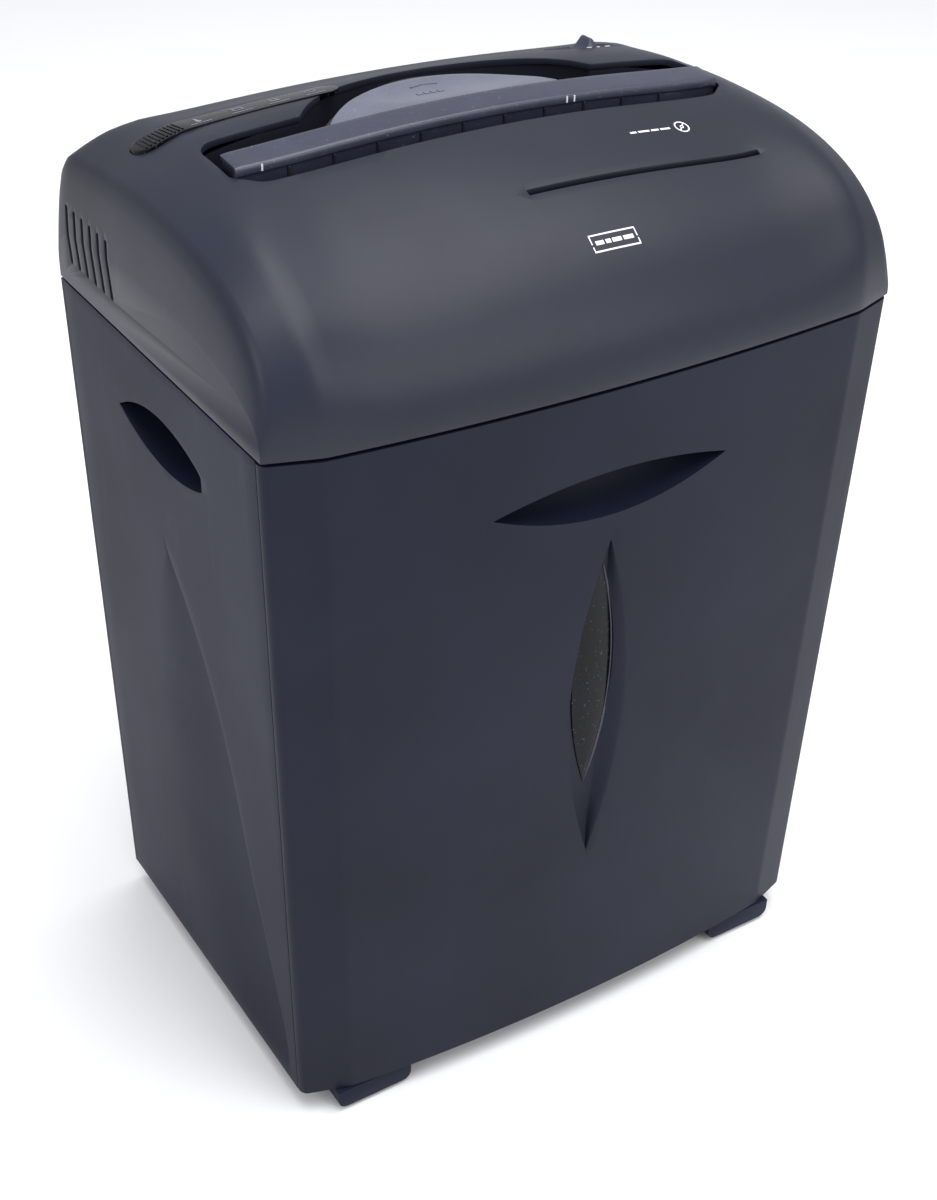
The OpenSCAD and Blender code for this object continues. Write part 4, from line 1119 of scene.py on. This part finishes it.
carve(frontPiece, scoopForm(scoop["wall"]), "UNION")
carve(frontPiece, scoopForm(0.0))
backingSpots = uprightLens(leaf["tall"] + 10 * mm, leaf["wide"] / 2 + 2 * mm, 0.0, leaf["z"])
backing = prism(backingSpots, 1, frontY + 2 * mm, frontY + leaf["deep"] + 2.2 * mm)
carve(frontPiece, backing, "UNION")
carve(frontPiece, leafForm())
windowSpots = uprightLens(leaf["windowTall"], leaf["windowWide"] / 2, leaf["windowX"], leaf["windowZ"])
carve(frontPiece, prism(windowSpots, 1, frontY - 5 * mm, frontY + 20 * mm))
soften(frontPiece, 0.45 * mm, 2, 38)

# the smoked window, with a fine raised rim along its right side; the rim's lighter plastic is a painted
# highlight on that edge
paneTall, paneHalf = leaf["windowTall"] - 0.5 * mm, leaf["windowWide"] / 2 - 0.2 * mm
paneSpots = uprightLens(paneTall, paneHalf, leaf["windowX"], leaf["windowZ"])
paneY = frontY + leaf["deep"] - 0.6 * mm
pane = prism(paneSpots, 1, paneY, paneY + 2.2 * mm)
panePiece = keep("windowPane", pane, "smoked_lens", "bin")
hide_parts("bin_window")
soften(panePiece, 0.5 * mm, 3, 40)


def highlightRimSpot(u, v):
    # a slim bead that follows the window's right edge, in a lighter plastic that paints the highlight on that
    # edge
    r = 2 * u - 1
    rise = leaf["windowWide"] / 2
    x = leaf["windowX"] + rise * (1 - r * r) + 0.3 * mm
    z = leaf["windowZ"] + leaf["windowTall"] / 2 * r
    turn = 2 * math.pi * v
    thick = 0.75 * mm * (1 - abs(r) ** 6) + 0.05 * mm
    return (x + thick * math.cos(turn), frontY + leaf["deep"] - 0.3 * mm - thick * math.sin(turn), z)


highlightRimForm = skin(44, 8, highlightRimSpot)
bmesh.ops.remove_doubles(highlightRimForm, verts=highlightRimForm.verts, dist=2e-5)
bmesh.ops.holes_fill(highlightRimForm, edges=highlightRimForm.edges, sides=0)
bmesh.ops.recalc_face_normals(highlightRimForm, faces=highlightRimForm.faces)
# the lighter flap plastic on the bead is painted highlight along the window's right edge
keep("windowRimHighlight", highlightRimForm, "shell_bin", "bin", finishes["flap_plastic"], 60)
print("the bin's front is in")

# side panels, each with a leaf-shaped hollow and a carry grip
sweep = {
    "crease": [
        (14, -86), (50, -79), (79, -70), (106, -62), (127, -55), (152, -49),
        (184, -41), (213, -31), (240, -18), (261, -4), (280, 12), (378, 40),
    ],
    "rear": [(14, 10), (60, 26), (120, 36), (180, 38), (234, 32), (262, 22), (280, 13), (378, 41)],
    "deep": 7.5 * mm,
    "fall": 0.06,
    "top": 0.283,
    "bottom": 0.022,
}


def trace(table, z):
    # reads a curve given as height and depth in millimetres, straight between its points
    height = z / mm
    for (z0, y0), (z1, y1) in zip(table, table[1:]):
        if height <= z1:
            way = max(0.0, (height - z0) / (z1 - z0))
            return (y0 + (y1 - y0) * way) * mm
    return table[-1][1] * mm


def sweepProfile(q):
    # a sharp fall just behind the crease, then a slow return to the flat
    if q < sweep["fall"]:
        return math.sin(math.pi / 2 * q / sweep["fall"])
    return 0.5 + 0.5 * math.cos(math.pi * (q - sweep["fall"]) / (1 - sweep["fall"]))


# columns of a side panel: up to the crease, across the hollow, on to the back
panelRun = stretchOf((0.0, 0.3, 10), (0.3, 0.36, 6), (0.36, 0.8, 26), (0.8, 1.0, 6))

grip = {
    "y": head["creaseY"] + 107 * mm,
    "z": seamZ - 40 * mm,
    "wide": 94 * mm,
    "up": 13.75 * mm,
    "down": 11.25 * mm,
    "deep": 16 * mm,
    "cut": 39 * mm,
    "wall": 2 * mm,
}


def gripPoints(grow):
    # pointed at the rear, blunt at the front
    spots = lensPoints(grip["wide"] + 2 * grow, grip["up"] + grow, grip["down"] + grow)
    kept = [(max(a, -grip["cut"] - grow * 0.6), b) for a, b in spots]
    apart = [p for p, q in zip(kept, kept[1:] + kept[:1]) if (Vector(p) - Vector(q)).length > 0.2 * mm]
    return shifted(apart, grip["y"], grip["z"])


def sidePanel(side):
    def spot(u, v):
        z = cabinet["low"] + (cabinet["high"] - cabinet["low"]) * v
        place = panelRun[round(u * (len(panelRun) - 1))]
        crease = trace(sweep["crease"], z)
        rear = max(trace(sweep["rear"], z), crease + 2 * mm)
        dip = 0.0
        if place < 0.3:
            y = cabinet["seamY"] + (crease - cabinet["seamY"]) * place / 0.3
        elif place < 0.8:
            q = (place - 0.3) / 0.5
            q = q * 0.5 if q < 0.12 else 0.06 + (q - 0.12) * 0.94 / 0.88
            y = crease + (rear - crease) * q
            way = min(1.0, max(0.0, (z - sweep["bottom"]) / (sweep["top"] - sweep["bottom"])))
            depth = sweep["deep"] * math.sin(math.pi * way ** 0.8) ** 0.8 if 0 < way < 1 else 0.0
            dip = depth * sweepProfile(q)
        else:
            y = rear + (cabinet["backY"] - rear) * (place - 0.8) / 0.2
        return (side * (halfWidth(z) - dip), y, z)

    form = turnOutwards(skin(len(panelRun) - 1, 72, spot), 0, side)
    name = "sideLeft" if side < 0 else "sideRight"
    piece = keep(name, form, "shell_cabinet", "machine", None, 30)
    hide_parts("side_panel_left" if side < 0 else "side_panel_right")
    giveWall(piece, cabinet["wall"])
    outer = side * (halfWidth(grip["z"]) - 1 * mm)
    inner = side * (head["half"] - grip["deep"])
    walled = inner - side * grip["wall"]
    carve(piece, prism(gripPoints(grip["wall"]), 0, min(outer, walled), max(outer, walled)), "UNION", 30)
    pocket = prism(gripPoints(0.0), 0, min(side * 0.2, inner), max(side * 0.2, inner))
    carve(piece, pocket, "DIFFERENCE", 30)
    soften(piece, 0.7 * mm, 3, 48, 40)
    # the flange that the back panel is screwed to
    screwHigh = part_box("cabinet_screws")[1]
    edge = screwHigh.x - 9 * mm
    reach = halfWidth(cabinet["low"]) - 1 * mm
    flangeLow = (min(side * edge, side * reach), cabinet["backY"] - 5 * mm, cabinet["low"] + 3.4 * mm)
    flangeHigh = (max(side * edge, side * reach), cabinet["backY"] - 0.1 * mm, cabinet["high"] - 6 * mm)
    flange = block(flangeLow, flangeHigh)
    carve(piece, flange, "UNION", 40)


sidePanel(-1)
sidePanel(1)
print("the side panels are in")

# feet with rounded lower corners
footWide, footRound = 42 * mm, 5 * mm
for nodeName, name in (("front_feet", "frontFeet"), ("rear_feet", "rearFeet")):
    footLow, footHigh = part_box(nodeName)
    feet = []
    for side in (-1, 1):
        middle = side * (footHigh.x - footWide / 2)
        rail = [(-footWide / 2, footHigh.z - footLow.z), (-footWide / 2, footRound)]
        for angle in range(15, 91, 15):
            turn = math.radians(angle)
            rail.append((-footWide / 2 + footRound * (1 - math.cos(turn)), footRound * (1 - math.sin(turn))))
        rail += [(-x, z) for x, z in reversed(rail)]
        foot = prism([(middle + x, footLow.z + z) for x, z in rail], 1, footLow.y, footHigh.y)
        feet.append(foot)
    feetPiece = keep(name, gather(feet), "black_plastic", "machine", finishes["shell_cabinet"])
    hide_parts(nodeName)
    if nodeName == "front_feet":
        # the front of the feet steps down to clear the bin's front
        stepLow = (-0.3, footLow.y - 0.01, cabinet["low"] - 0.4 * mm)
        carve(feetPiece, block(stepLow, (0.3, cornerY + 5.4 * mm, 0.1)))
    soften(feetPiece, 0.6 * mm, 3, 40)
print("the feet are in")


# floor, light and camera

floor = bmesh.new()
bmesh.ops.create_grid(floor, x_segments=1, y_segments=1, size=6.0)
floorConstants = {"Specular IOR Level": 0.1, "Roughness": 0.8}
floorMaterial, floorShader, floorStart, floorPlace = newMaterial("paleFloor", 0.0, floorConstants)
floorTone = floorStart.noise(floorPlace, 3.0).colours((0.9, 0.905, 0.91, 1.0), (0.93, 0.93, 0.935, 1.0))
feed(floorStart, floorShader, "Base Color", floorTone)
keep("floor", floor, "steel", None, floorMaterial)


def softLight(name, place, target, size, power):
    lamp = bpy.data.lights.new(name, "AREA")
    lamp.shape = "RECTANGLE"
    lamp.size, lamp.size_y = size
    lamp.energy = power
    thing = bpy.data.objects.new(name, lamp)
    thing.location = place
    thing.rotation_euler = (Vector(target) - Vector(place)).to_track_quat("-Z", "Y").to_euler()
    bpy.context.scene.collection.objects.link(thing)


softLight("topSoftbox", (0.2, -0.3, 2.4), (0.0, 0.0, 0.2), (2.2, 2.2), 62.0)
softLight("frontSoftbox", (0.9, -2.2, 1.5), (0.0, 0.0, 0.3), (1.6, 1.6), 20.0)
softLight("leftSoftbox", (-2.2, -0.6, 1.6), (0.0, 0.0, 0.2), (1.4, 1.4), 14.0)
world = bpy.data.worlds.new("studio")
bpy.context.scene.world = world
world.use_nodes = True
world.node_tree.nodes["Background"].inputs["Color"].default_value = (0.93, 0.95, 1.0, 1.0)
world.node_tree.nodes["Background"].inputs["Strength"].default_value = 0.6
bpy.context.scene.view_settings.view_transform = "Standard"

view = {"place": (-0.437, -0.661, 0.7365), "azimuth": -33.27, "elevation": 33.84, "roll": 1.86, "lens": 70.96}
turn, lift, roll = (math.radians(view[k]) for k in ("azimuth", "elevation", "roll"))
back = Vector((math.sin(turn) * math.cos(lift), -math.cos(turn) * math.cos(lift), math.sin(lift)))
right = Vector((0, 0, 1)).cross(back).normalized()
up = back.cross(right)
leanRight = math.cos(roll) * right + math.sin(roll) * up
leanUp = math.cos(roll) * up - math.sin(roll) * right
lens = bpy.data.cameras.new("camera")
lens.sensor_fit = "HORIZONTAL"
lens.sensor_width = 36.0
lens.lens = view["lens"]
lens.clip_start = 0.05
camera = bpy.data.objects.new("camera", lens)
facing = Matrix((leanRight, leanUp, back)).transposed().to_4x4()
camera.matrix_world = Matrix.Translation(view["place"]) @ facing
bpy.context.scene.collection.objects.link(camera)
bpy.context.scene.camera = camera
